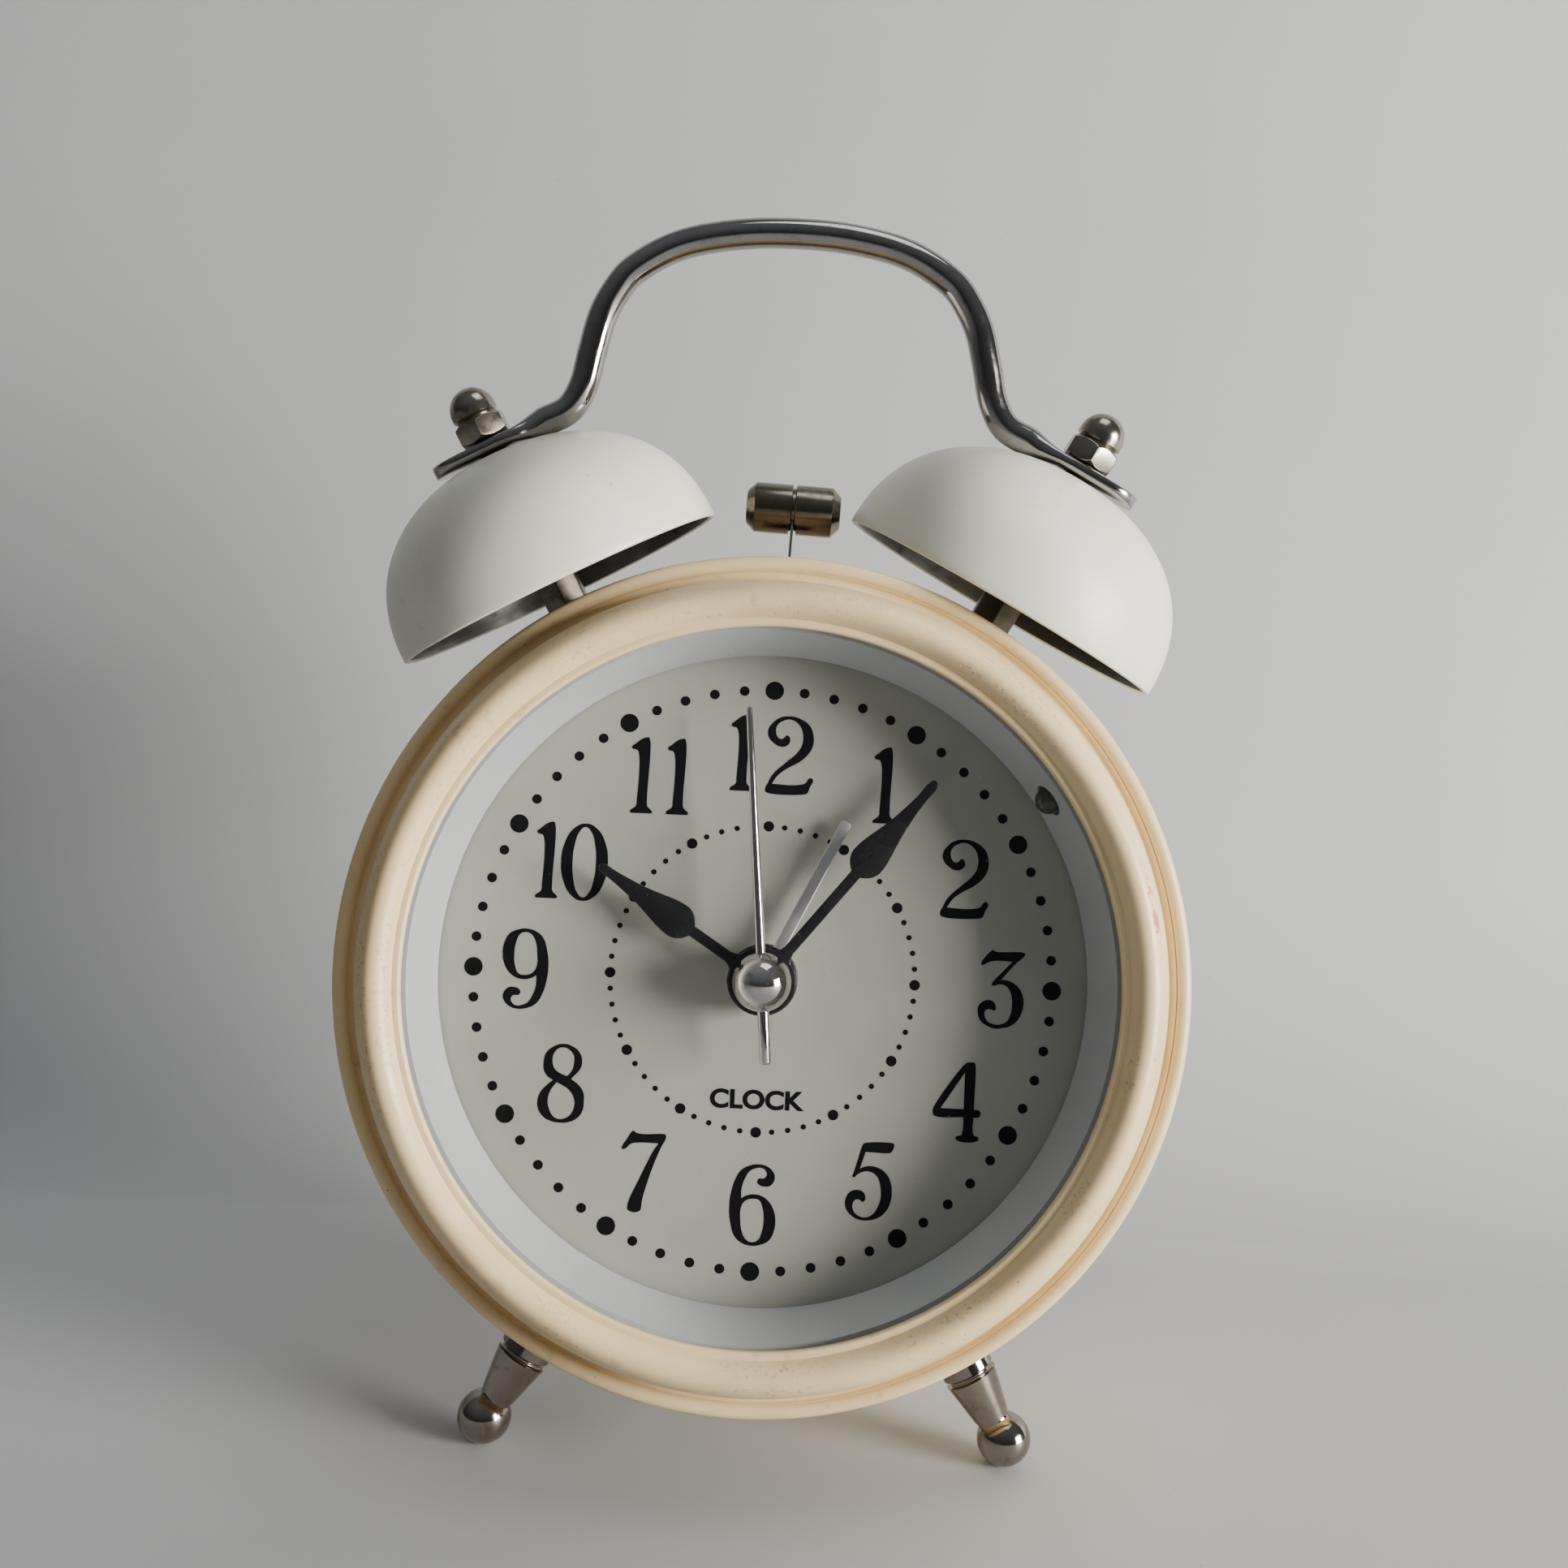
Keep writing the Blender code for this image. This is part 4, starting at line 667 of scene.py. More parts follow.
@dataclass(frozen=True)
class Pane(Finish):
    """Clear glass that shows a faint sheen towards its edges, and a little dust."""

    tint: Colour = (0.92, 0.95, 0.96)
    clear: float = 0.012
    sheen: float = 0.30

    def build(self) -> bpy.types.Material:
        """Make the material."""
        tree = Tree(self.name)
        facing = tree.nodes.new("ShaderNodeLayerWeight")
        facing.inputs["Blend"].default_value = 0.28
        dust = tree.specks(700, (0.08, 0.03), 90, (0.55, 0.63))
        smear = tree.step(tree.noise(45, 4, 0.6), 0.5, 0.8, 0.0, 0.008)
        seen = tree.step(facing.outputs["Fresnel"], 0.0, 1.0, self.clear, self.sheen)
        alpha = tree.maths('ADD', tree.maths('ADD', seen, smear), tree.times(dust, 0.25))
        tree.material.surface_render_method = 'DITHERED'
        return tree.finish(Base_Color=self.tint, Metallic=1.0, Alpha=alpha,
                           Roughness=tree.step(dust, 0.0, 1.0, 0.02, 0.5))


@dataclass(frozen=True)
class DialCard(Finish):
    """Printed card behind the glass, yellowed a little and faintly marked."""

    colour: Colour = (0.44, 0.44, 0.39)
    aged: Colour = (0.385, 0.385, 0.33)
    fibre: Colour = (0.42, 0.41, 0.37)
    speck: Colour = (0.26, 0.22, 0.17)

    def build(self) -> bpy.types.Material:
        """Make the material."""
        tree = Tree(self.name)
        colour = tree.mix(tree.clouded(28), self.colour, self.aged)
        fibres = tree.noise(2600, 4, 0.7)
        colour = tree.mix(tree.step(fibres, 0.62, 0.80, 0.0, 0.16), colour, self.fibre)
        specks = tree.specks(430, (0.06, 0.03), 75, (0.62, 0.68))
        colour = tree.mix(tree.times(specks, 0.5), colour, self.speck)
        return tree.finish(Base_Color=colour, Normal=tree.bump(fibres, 0.00001, 0.25),
                           Specular_IOR_Level=0.3, Roughness=tree.varied(300, 2, 0.50, 0.62))


@dataclass(frozen=True)
class Ink(Finish):
    """Black printing ink with uneven cover."""

    colour: Colour = (0.005, 0.005, 0.0055)
    faded: Colour = (0.03, 0.03, 0.032)

    def build(self) -> bpy.types.Material:
        """Make the material."""
        tree = Tree(self.name)
        cover = tree.noise(1800, 3, 0.6)
        colour = tree.mix(tree.step(cover, 0.5, 0.8, 0.0, 0.2), self.colour, self.faded)
        return tree.finish(Base_Color=colour, Roughness=tree.step(cover, 0.3, 0.7, 0.50, 0.66),
                           Normal=tree.bump(cover, 0.00001, 0.2), Specular_IOR_Level=0.12)


@dataclass(frozen=True)
class Striped(Finish):
    """Fine bands across X, for windings, board tracks and the cell's jacket."""

    colour: Colour
    between: Colour
    lines: float
    metallic: float = 0.0
    rough: float = 0.4
    wander: float = 0.6

    def build(self) -> bpy.types.Material:
        """Make the material."""
        tree = Tree(self.name)
        wave = tree.nodes.new("ShaderNodeTexWave")
        wave.bands_direction = 'X'
        wave.inputs["Scale"].default_value = self.lines
        wave.inputs["Distortion"].default_value = self.wander
        wave.inputs["Detail"].default_value = 2.0
        tree.feed(wave.inputs["Vector"], tree.place)
        bands = tree.step(wave.outputs["Fac"], 0.35, 0.65)
        colour = tree.mix(bands, self.between, self.colour)
        colour = tree.mix(tree.step(tree.noise(300, 3), 0.5, 0.8, 0.0, 0.3), colour, self.between)
        return tree.finish(Base_Color=colour, Metallic=self.metallic,
                           Normal=tree.bump(bands, 0.00004, 0.6),
                           Roughness=tree.varied(500, 2, self.rough, self.rough + 0.15))


@dataclass(frozen=True)
class Backdrop(Finish):
    """Matt pale board with a few dark fibres, which can be clear from behind."""

    colour: Colour = (0.46, 0.463, 0.468)
    fibre: Colour = (0.20, 0.19, 0.18)
    one_sided: bool = False

    def build(self) -> bpy.types.Material:
        """Make the material."""
        tree = Tree(self.name)
        shaded = tuple(part * 0.965 for part in self.colour)
        colour = tree.mix(tree.clouded(9, 0.3, 0.7), self.colour, shaded)
        fibres = tree.specks(150, (0.035, 0.02), 23, (0.55, 0.62))
        colour = tree.mix(tree.times(fibres, 0.55), colour, self.fibre)
        if self.one_sided:
            facing = tree.nodes.new("ShaderNodeNewGeometry").outputs["Backfacing"]
            tree.finish(Alpha=tree.maths('SUBTRACT', 1.0, facing))
        return tree.finish(Base_Color=colour, Roughness=0.62, Specular_IOR_Level=0.25)


class Palette:
    """Every finish on the clock, made once when it is first asked for."""

    def __init__(self, dial: DialFrame) -> None:
        """List the finishes of the record's slots."""
        self.made: dict[str, bpy.types.Material] = {}
        self.finishes: dict[Slot, Finish] = {
            Slot.CREAM: RubbedPaint("cream_paint", (0.79, 0.61, 0.34), (0.73, 0.54, 0.285), dial=dial),
            Slot.WHITE: SatinPaint("white_paint", (0.80, 0.785, 0.67), (0.74, 0.72, 0.60),
                                   dirt_share=0.30),
            Slot.CHROME: Metal("chrome", (0.62, 0.60, 0.58), (0.32, 0.28, 0.24), 0.06, 0.20, 0.30, 0.10),
            Slot.NICKEL: Metal("nickel", (0.34, 0.31, 0.26), (0.11, 0.085, 0.055), 0.18, 0.42, 0.75, 0.45),
            Slot.STEEL: Metal("steel", (0.46, 0.44, 0.41), (0.20, 0.17, 0.13), 0.30, 0.50, 0.50, 0.40),
            Slot.DARK_STEEL: Metal("dark_steel", (0.15, 0.13, 0.105), (0.05, 0.04, 0.03),
                                   0.28, 0.52, 0.75, 0.60),
            Slot.SPRING: Metal("spring_steel", (0.40, 0.39, 0.38), (0.18, 0.17, 0.16),
                               0.20, 0.36, 0.30, 0.20),
            Slot.GLASS: Pane("glass"),
            Slot.DIAL: DialCard("dial_paper"),
            Slot.MILKY: Moulded("milky_plastic", (0.56, 0.57, 0.575), (0.53, 0.545, 0.555), 0.34, 0.10),
            Slot.BLACK: Moulded("black_plastic", (0.010, 0.010, 0.011), (0.016, 0.016, 0.017), 0.24, 0.08),
            Slot.IVORY: Moulded("ivory_plastic", (0.76, 0.67, 0.52), (0.71, 0.61, 0.46), 0.48, 0.50),
            Slot.CASTING: Moulded("white_plastic", (0.74, 0.74, 0.71), (0.69, 0.69, 0.66), 0.46, 0.40),
            # The lamp's lens is given a near-black colour as painted shade, so that the hole it sits in
            # reads dark.
            Slot.LENS: Moulded("lamp_lens", (0.075, 0.075, 0.070), (0.045, 0.045, 0.040), 0.08, 0.04),
            Slot.BOARD: Striped("circuit_board", (0.06, 0.26, 0.10), (0.03, 0.13, 0.05), 160,
                                wander=6.0, rough=0.42),
            Slot.COPPER: Striped("copper", (0.76, 0.38, 0.20), (0.30, 0.12, 0.05), 1100,
                                 metallic=1.0, rough=0.24, wander=0.4),
            Slot.IRON: Metal("soft_iron", (0.36, 0.36, 0.37), (0.20, 0.17, 0.15), 0.36, 0.58, 0.45, 0.40),
            Slot.MAGNET: Moulded("magnet", (0.10, 0.10, 0.11), (0.07, 0.07, 0.075), 0.36, 0.30),
            Slot.CELL: Striped("cell_jacket", (0.05, 0.12, 0.30), (0.02, 0.04, 0.12), 12,
                               metallic=0.2, rough=0.26, wander=0.0),
        }

    def take(self, finish: Finish) -> bpy.types.Material:
        """The material of a finish."""
        if finish.name not in self.made:
            self.made[finish.name] = finish.build()
        return self.made[finish.name]

    def slot(self, slot: Slot) -> bpy.types.Material:
        """The material of one of the record's slots."""
        return self.take(self.finishes[slot])


# ---- making pieces -------------------------------------------------------------------------------

class Workshop:
    """Turns shapes into dressed pieces that ride on the clock's bodies."""

    def __init__(self, nodes: dict[str, bpy.types.Object], dial: DialFrame) -> None:
        """Keep the CAD nodes, the dial frame and the palette."""
        self.nodes = nodes
        self.dial = dial
        self.palette = Palette(dial)
        self.replaced: set[str] = set()

    def piece(self, name: str, shape: Shape, slot: Slot, body: Body = Body.ROOT,
              place: Matrix | None = None, stands_for: Sequence[str] = (),
              extra: Sequence[Finish] = (), finish: Finish | None = None,
              sharp: float = 32.0, in_dial: bool = True) -> bpy.types.Object:
        """Make a piece from a shape.

        Args:
            name: The piece's name.
            shape: Its shape, which is freed.
            slot: The record's material slot that it takes its finish from.
            body: The CAD body that it rides on.
            place: Where the shape lies in the dial frame.
            stands_for: The CAD nodes that it is shown instead of.
            extra: Finishes for the faces with a material number above 0.
            finish: A finish of its own, in place of the slot's.
            sharp: Edges that turn by more than this stay sharp.
            in_dial: Whether the shape is in the dial frame, and not already in the clock's.

        Returns:
            The new object.
        """
        if place is not None:
            moved(shape, place)
        if in_dial:
            moved(shape, self.dial.matrix)
        bmesh.ops.remove_doubles(shape, verts=shape.verts, dist=MERGE)
        bmesh.ops.recalc_face_normals(shape, faces=shape.faces)
        mesh = bpy.data.meshes.new(name)
        shape.to_mesh(mesh)
        shape.free()
        mesh.polygons.foreach_set("use_smooth", [True] * len(mesh.polygons))
        mesh.set_sharp_from_angle(angle=math.radians(sharp))
        mesh.materials.append(self.palette.take(finish) if finish else self.palette.slot(slot))
        for other in extra:
            mesh.materials.append(self.palette.take(other))
        item = bpy.data.objects.new(name, mesh)
        bpy.context.scene.collection.objects.link(item)
        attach(item, body.value)
        if stands_for:
            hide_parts(*stands_for)
            self.replaced.update(stands_for)
        self.report(item, stands_for)
        return item

    def report(self, item: bpy.types.Object, nodes: Sequence[str]) -> None:
        """Log a piece, and how far its box is from that of the CAD nodes it stands for."""
        spots = [vertex.co for vertex in item.data.vertices]
        off = 0.0
        if nodes:
            boxes = [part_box(node) for node in nodes]
            for axis in range(3):
                low = min(box[0][axis] for box in boxes)
                high = max(box[1][axis] for box in boxes)
                off = max(off, abs(min(spot[axis] for spot in spots) - low),
                          abs(max(spot[axis] for spot in spots) - high))
        LOG.info("%s: %d faces, box within %.2f mm of its CAD", item.name,
                 len(item.data.polygons), off / MM)

    def node_slot(self, node: str) -> Slot:
        """The material slot that a CAD node has."""
        return Slot(self.nodes[node].data.materials[0].name.split(".")[0])

    def softened(self, node: str, body: Body, width: float,
                 slot: Slot | None = None) -> bpy.types.Object:
        """A copy of a CAD node with its edges rounded, which is shown instead of it.

        Args:
            node: The CAD node's name.
            body: The body that it rides on.
            width: How far its edges are rounded.
            slot: A material slot in place of the node's own.

        Returns:
            The new object.
        """
        shape = bmesh.new()
        shape.from_mesh(self.nodes[node].data)
        bmesh.ops.remove_doubles(shape, verts=shape.verts, dist=CAD_MERGE)
        bmesh.ops.dissolve_limit(shape, angle_limit=math.radians(FLAT), verts=shape.verts,
                                 edges=shape.edges)
        round_edges(shape, width)
        return self.piece(node + "_finished", shape, slot or self.node_slot(node), body,
                          stands_for=(node,), in_dial=False)

    def dress_kept(self) -> None:
        """Give each CAD node that is still shown the finish of its slot."""
        for name, node in self.nodes.items():
            if name in self.replaced:
                continue
            slot = self.node_slot(name)
            node.material_slots[0].material = self.palette.slot(slot)
            LOG.info("%s: kept, in %s", name, slot.value)


# ---- the case ------------------------------------------------------------------------------------

@dataclass
class Case:
    """The bezel, the can, the glass, the reflector ring, the dial and its lamp."""

    shop: Workshop
    can_radius: float = 0.0540
    can_wall: float = 0.0009
    can_front: float = 0.0060
    can_back: float = -0.0330
    flange_radius: float = 0.0575
    flange_width: float = 0.0020
    flange_back: float = 0.0035
    band_outer: float = 0.0539
    lip_radius: float = 0.0471
    lip_top: float = 0.0138
    crest: float = 0.0157
    band_foot: float = 0.0089
    glass_face: float = 0.0126
    glass_thick: float = 0.0012
    stack_radius: float = 0.0512
    dial_opening: float = 0.0448
    dial_thick: float = 0.0006
    dial_bore: float = 0.0048
    ring_wall: float = 0.0013
    lamp_angle: float = 55.4
    lamp_z: float = 0.0060
    lamp_radius: float = 0.0019
    lamp_nose: float = -0.0012
    lamp_foot: float = 0.0026
    lamp_hole: float = 0.0023
    post_hole: float = 0.0022
    foot_hole: float = 0.0018
    striker_slot: Point = (0.0100, 0.0064)
    soft: float = 0.0002
    gap: float = 0.0003

    def build(self) -> None:
        """Make every piece of the case."""
        self.bezel()
        self.can()
        self.glass()
        self.reflector()
        self.dial_plate()
        self.lamp()

    def bezel(self) -> None:
        """The painted ring: a thin flange, a groove and a broad round band down to the lip."""
        half = self.flange_width / 2
        flange_top = self.flange_back + 0.0040
        middle = ((self.band_outer + self.lip_radius) / 2, self.band_foot)
        reach = ((self.band_outer - self.lip_radius) / 2, self.crest - self.band_foot)
        seat = self.glass_face + self.gap
        last = 180 - math.degrees(math.asin((self.lip_top - self.band_foot) / reach[1]))
        inner = self.band_outer - 0.0013
        bore = self.can_radius + self.gap
        shoulder = self.can_front + self.gap
        floor = self.band_foot - 0.0016
        bead, lip = 0.0006, 0.0005
        groove = (self.flange_radius - self.flange_width + self.band_outer) / 2
        profile = [(bore, self.flange_back)]
        profile += arc((self.flange_radius - bead, self.flange_back + bead), (bead, bead), -90, 0, 4)
        profile += arc((self.flange_radius - half, flange_top), (half, 0.0009), 0, 165, 14)
        profile += arc((groove, floor + bead), (0.0007, bead), 0, -180, 8)
        profile += arc(middle, reach, 0, last, 40)
        profile += arc((self.lip_radius + lip, self.lip_top - lip), (lip, lip), 100, 180, 5)
        profile += [(self.lip_radius, seat), (inner - 0.0009, seat), (inner, seat - 0.0036),
                    (inner, shoulder), (bore, shoulder)]
        self.shop.piece("bezel", spun(profile), Slot.CREAM, stands_for=("bezel_ring",), sharp=50)

    def can(self) -> None:
        """The round shell, with a rolled front edge and holes for the posts, feet and striker."""
        inner = self.can_radius - self.can_wall
        half = self.can_wall / 2
        middle = self.can_radius - half
        profile = arc((middle, self.can_front - half), (half, half), 0, 180, 6)
        profile += [(inner, self.can_back), (self.can_radius - self.soft, self.can_back),
                    (self.can_radius, self.can_back + self.soft)]
        shape = spun(profile)
        for side in SIDES:
            shape = carve(shape, moved(bar(self.post_hole, -0.012, -0.004), Bells.place(side)))
            foot = radial(180 - side * Feet.angle, self.can_radius, Feet.z)
            shape = carve(shape, moved(bar(self.foot_hole, -0.006, 0.006), foot))
        long, wide = self.striker_slot
        slot = brick((-long / 2, inner - 0.004, BELL_Z - wide / 2),
                     (long / 2, self.can_radius + 0.004, BELL_Z + wide / 2))
        self.shop.piece("can", carve(shape, slot), Slot.CREAM, stands_for=("case_can",))

    def glass(self) -> None:
        """The front glass, with its edge ground."""
        low, high = self.glass_face - self.glass_thick, self.glass_face
        edge = self.stack_radius - self.soft
        profile = [(0.0, low), (edge, low), (self.stack_radius, low + self.soft),
                   (self.stack_radius, high - self.soft), (edge, high), (0.0, high)]
        self.shop.piece("pane", spun(profile), Slot.GLASS, stands_for=("front_glass",))

    def reflector(self) -> None:
        """The slightly conical ring between the dial and the glass."""
        top = self.glass_face - self.glass_thick - self.gap
        upper = self.lip_radius - self.soft
        step = 0.0012
        profile = [(upper, top), (self.stack_radius, top), (self.stack_radius, top - step),
                   (upper + self.ring_wall, top - step), (self.dial_opening + self.ring_wall, self.gap),
                   (self.dial_opening + self.soft, self.gap), (self.dial_opening, self.gap + self.soft)]
        hole = moved(bar(self.lamp_hole, -0.004, 0.004, 40), self.lamp_place())
        self.shop.piece("reflector", carve(spun(profile), hole), Slot.MILKY,
                        stands_for=("reflector_ring",))

    def dial_plate(self) -> None:
        """The dial's card plate, with a hole for the pipes."""
        bore, rim, edge = self.dial_bore, self.stack_radius, 0.00015
        profile = [(bore, -self.dial_thick), (rim, -self.dial_thick), (rim, -edge),
                   (rim - edge, 0.0), (bore + edge, 0.0), (bore, -edge)]
        self.shop.piece("dial", spun(profile), Slot.DIAL, stands_for=("dial_plate",))

    def lamp_place(self) -> Matrix:
        """The lamp's place in the reflector ring."""
        return radial(self.lamp_angle, self.lip_radius, self.lamp_z)

    def lamp(self) -> None:
        """The small lamp in its clip, behind the reflector ring."""
        radius, foot = self.lamp_radius, self.lamp_foot
        profile = [(0.0, foot), (radius - self.soft, foot), (radius, foot - self.soft)]
        profile += arc((0.0, self.lamp_nose), (radius, -radius), 0, 90, 10)
        # The lens's near-black colour is painted shade for the hole in the reflector ring.
        self.shop.piece("lamp_bulb", spun(on_axis(profile), 40), Slot.LENS, place=self.lamp_place(),
                        stands_for=("lamp",))
        self.shop.softened("lamp_clip", Body.ROOT, 0.0002, Slot.BLACK)


# ---- the dial's print ----------------------------------------------------------------------------

CORNER = "corner"
DIGITS: dict[str, tuple] = {
    "1": (((7, 52), (3, 53), (-13, 43), (-17, 39), (-15, 36), (-10, 35), (-7, 30), (-7, -34), (-8, -43),
           (-13, -47), (-16, -50), (-15, -53, CORNER), (13, -53, CORNER), (15, -51), (12, -47), (8, -43),
           (7, -34)),),
    "2": (((-5, 27), (-1, 20), (-5, 13), (-14, 11), (-24, 16), (-31, 24), (-32, 34), (-27, 43), (-17, 51),
           (-3, 54), (14, 50), (26, 41), (31, 29), (31, 14), (25, 2), (15, -8), (-5, -20), (-17, -30),
           (-24, -41, CORNER), (14, -41), (23, -38), (26, -33), (30, -31), (33, -34), (29, -44), (26, -52),
           (23, -54), (-30, -54), (-33, -51), (-29, -39), (-24, -29), (-5, -10), (10, 4), (16, 15), (16, 32),
           (11, 42), (0, 49), (-12, 47), (-20, 40), (-21, 30), (-17, 23), (-12, 22)),),
    "3": (((-16, 52), (-13, 54), (-9, 52), (30, 52), (32, 50), (30, 46), (21, 38), (7, 22), (0, 13, CORNER),
           (7, 13), (16, 10), (25, 3), (30, -6), (32, -19), (30, -30), (24, -42), (14, -50), (3, -53),
           (-6, -54), (-18, -50), (-27, -43), (-31, -32), (-30, -24), (-25, -18), (-17, -15), (-10, -17),
           (-6, -24), (-7, -29), (-12, -28), (-18, -28), (-21, -31), (-21, -37), (-17, -44), (-8, -48),
           (0, -48), (9, -44), (14, -35), (16, -22), (15, -9), (11, 1), (5, 6), (-2, 7), (-10, 5), (-13, 6),
           (-12, 9), (4, 27), (15, 39, CORNER), (-10, 39), (-18, 37), (-25, 33), (-28, 33), (-28, 36),
           (-23, 44)),),
    "4": (((11, 52), (15, 53), (22, 53), (24, 51), (24, -11, CORNER), (30, -12), (33, -14), (33, -19),
           (30, -22), (24, -22, CORNER), (24, -43), (26, -47), (30, -48), (32, -51), (30, -54), (2, -54),
           (0, -51), (2, -48), (7, -47), (9, -43), (10, -22, CORNER), (-29, -22), (-32, -19), (-32, -12),
           (-29, -5)),
          ((10, 39, CORNER), (10, -11, CORNER), (-22, -11, CORNER))),
    "5": (((-9, 52), (31, 53), (32, 51), (29, 42), (27, 40), (-7, 40, CORNER), (-14, 17, CORNER), (-7, 20),
           (1, 21), (11, 19), (22, 12), (29, 0), (31, -14), (29, -29), (22, -42), (11, -50), (-2, -53),
           (-14, -52), (-26, -45), (-32, -35), (-32, -25), (-26, -15), (-16, -12), (-8, -15), (-5, -23),
           (-8, -28), (-14, -25), (-19, -26), (-22, -31), (-21, -40), (-14, -47), (-4, -49), (5, -45),
           (12, -35), (16, -21), (15, -6), (10, 7), (1, 13), (-9, 13), (-18, 8), (-21, 5), (-24, 6),
           (-23, 9), (-19, 23), (-11, 50)),),
    "6": (((8, 56), (19, 53), (26, 47), (29, 39), (27, 32), (22, 27), (15, 26), (8, 28), (5, 33), (8, 37),
           (13, 37), (17, 40), (17, 46), (11, 51), (1, 50), (-6, 46), (-12, 36), (-16, 23),
           (-16, 9, CORNER), (-9, 13), (1, 15), (12, 13), (21, 7), (28, -3), (32, -18), (30, -36),
           (23, -48), (13, -53), (1, -55), (-12, -52), (-23, -43), (-29, -27), (-32, -6), (-30, 18),
           (-25, 35), (-18, 47), (-6, 54)),
          ((1, 9), (9, 7), (14, -3), (16, -18), (14, -36), (9, -47), (1, -50), (-7, -47), (-13, -37),
           (-16, -20), (-16, -5), (-11, 5))),
    "7": (((-16, 54), (-10, 51), (28, 51), (30, 49), (23, 31), (14, 7), (5, -23), (1, -40), (0, -50),
           (-1, -54), (-18, -54), (-19, -51), (-17, -40), (-8, -19), (4, 8), (14, 29), (20, 38, CORNER),
           (-8, 38), (-18, 36), (-26, 29), (-30, 29), (-30, 32), (-24, 42), (-18, 52)),),
    "8": (((0, 54), (13, 51), (23, 43), (27, 30), (24, 19), (17, 11), (13, 6, CORNER), (22, 0), (30, -10),
           (32, -24), (30, -38), (22, -48), (11, -53), (0, -54), (-13, -52), (-24, -46), (-31, -35),
           (-32, -24), (-29, -14), (-21, -4), (-12, 4, CORNER), (-20, 9), (-25, 17), (-26, 29), (-23, 41),
           (-13, 50)),
          ((0, 49), (9, 46), (15, 39), (16, 29), (13, 17), (7, 10, CORNER), (-1, 13), (-10, 19), (-14, 30),
           (-12, 41), (-7, 47)),
          ((-7, 1, CORNER), (2, -3), (12, -10), (18, -20), (19, -30), (15, -41), (8, -47), (-1, -49),
           (-9, -46), (-15, -37), (-18, -24), (-15, -11))),
}
TENTH = 0.1              # the digits are drawn in tenths of a millimetre about their middles


@dataclass
class DialPrint:
    """The numerals, the two rings of dots and the word on the dial. Sizes are millimetres."""

    shop: Workshop
    lift: float = 0.01
    thick: float = 0.03
    zero: tuple = ((0.0, 0.0, 3.25, 5.38), (-0.03, 0.0, 1.63, 4.88))
    rings: tuple = ((40.0, 1.29, 0.675), (21.07, 0.73, 0.37))
    word: str = "CLOCK"
    bold: float = 0.035
    word_y: float = -16.6
    word_size: Point = (13.0, 2.7)
    places: tuple = (("1", 15.95, 27.45), ("2", 27.5, 15.0), ("3", 32.97, -0.08), ("4", 27.46, -15.57),
                     ("5", 15.92, -27.08), ("6", 0.0, -31.0), ("7", -15.3, -26.96), ("8", -27.03, -15.5),
                     ("9", -32.84, 0.03), ("1", -30.4, 15.15), ("0", -25.35, 15.03), ("1", -17.8, 27.45),
                     ("1", -12.8, 27.45), ("1", -4.1, 31.15), ("2", 2.55, 31.13))

    def build(self) -> None:
        """Make the print's three pieces."""
        ink = Ink("print_ink")
        for name, shape in (("dial_numerals", self.numerals()), ("dial_dots", self.dots()),
                            ("dial_word", self.lettering())):
            self.shop.piece(name, shape, Slot.BLACK, place=shift(z=self.lift * MM), finish=ink,
                            sharp=40)

    def digit(self, mark: str) -> Shape:
        """One digit about its own middle."""
        if mark == "0":
            return cut_out([ellipse(*sizes, 12) for sizes in self.zero], self.thick)
        outlines = [Outline(points, TENTH) for points in DIGITS["6" if mark == "9" else mark]]
        shape = cut_out(outlines, self.thick)
        return moved(shape, turn(180, "Z")) if mark == "9" else shape

    def numerals(self) -> Shape:
        """Every numeral, in one shape."""
        return merged(*[moved(self.digit(mark), shift(x * MM, y * MM)) for mark, x, y in self.places])

    def dots(self) -> Shape:
        """Sixty dots in each ring, with a larger one at each hour."""
        shape = bmesh.new()
        for radius, hour_dot, minute_dot in self.rings:
            for minute in range(60):
                x, y = clock_point(6.0 * minute, radius * MM)
                size = (minute_dot if minute % 5 else hour_dot) * MM
                bmesh.ops.create_cone(shape, cap_ends=True, segments=20, radius1=size, radius2=size,
                                      depth=self.thick * MM, matrix=shift(x, y, self.thick * MM / 2))
        return shape

    def lettering(self) -> Shape:
        """The word under the middle, in plain bold letters."""
        curve = bpy.data.curves.new("word", 'FONT')
        curve.body = self.word
        curve.align_x = 'CENTER'
        curve.offset = self.bold
        curve.extrude = 0.01
        item = bpy.data.objects.new("word", curve)
        bpy.context.scene.collection.objects.link(item)
        shape = solid_of(item)
        bpy.data.curves.remove(curve)
        lows = [min(vertex.co[axis] for vertex in shape.verts) for axis in range(3)]
        highs = [max(vertex.co[axis] for vertex in shape.verts) for axis in range(3)]
        middle = [(low + high) / 2 for low, high in zip(lows, highs)]
        size = (*self.word_size, self.thick)
        scale = [wanted * MM / (high - low) for wanted, low, high in zip(size, lows, highs)]
        place = shift(0.0, self.word_y * MM, self.thick * MM / 2) @ Matrix.Diagonal((*scale, 1.0))
        return moved(shape, place @ Matrix.Translation([-value for value in middle]))


# ---- the hands -----------------------------------------------------------------------------------

def hand_outlines(side: list[tuple], hub: float, bore: float, root: float) -> list[Outline]:
    """A hand's outline from its right side, and the hole in its hub.

    Args:
        side: The right side's points, from the hub out to the tip.
        hub: The hub's radius.
        bore: The hole's radius.
        root: How far round the hub the stem's side stands, as an angle.

    Returns:
        The two outlines.
    """
    left = [(-x, *rest) for x, *rest in reversed(side[:-1])]
    ring = arc((0.0, 0.0), (hub, hub), 90 + root, 450 - root, 20)
    return [Outline(tuple(side + left + ring)), ellipse(0.0, 0.0, bore, bore, 12)]


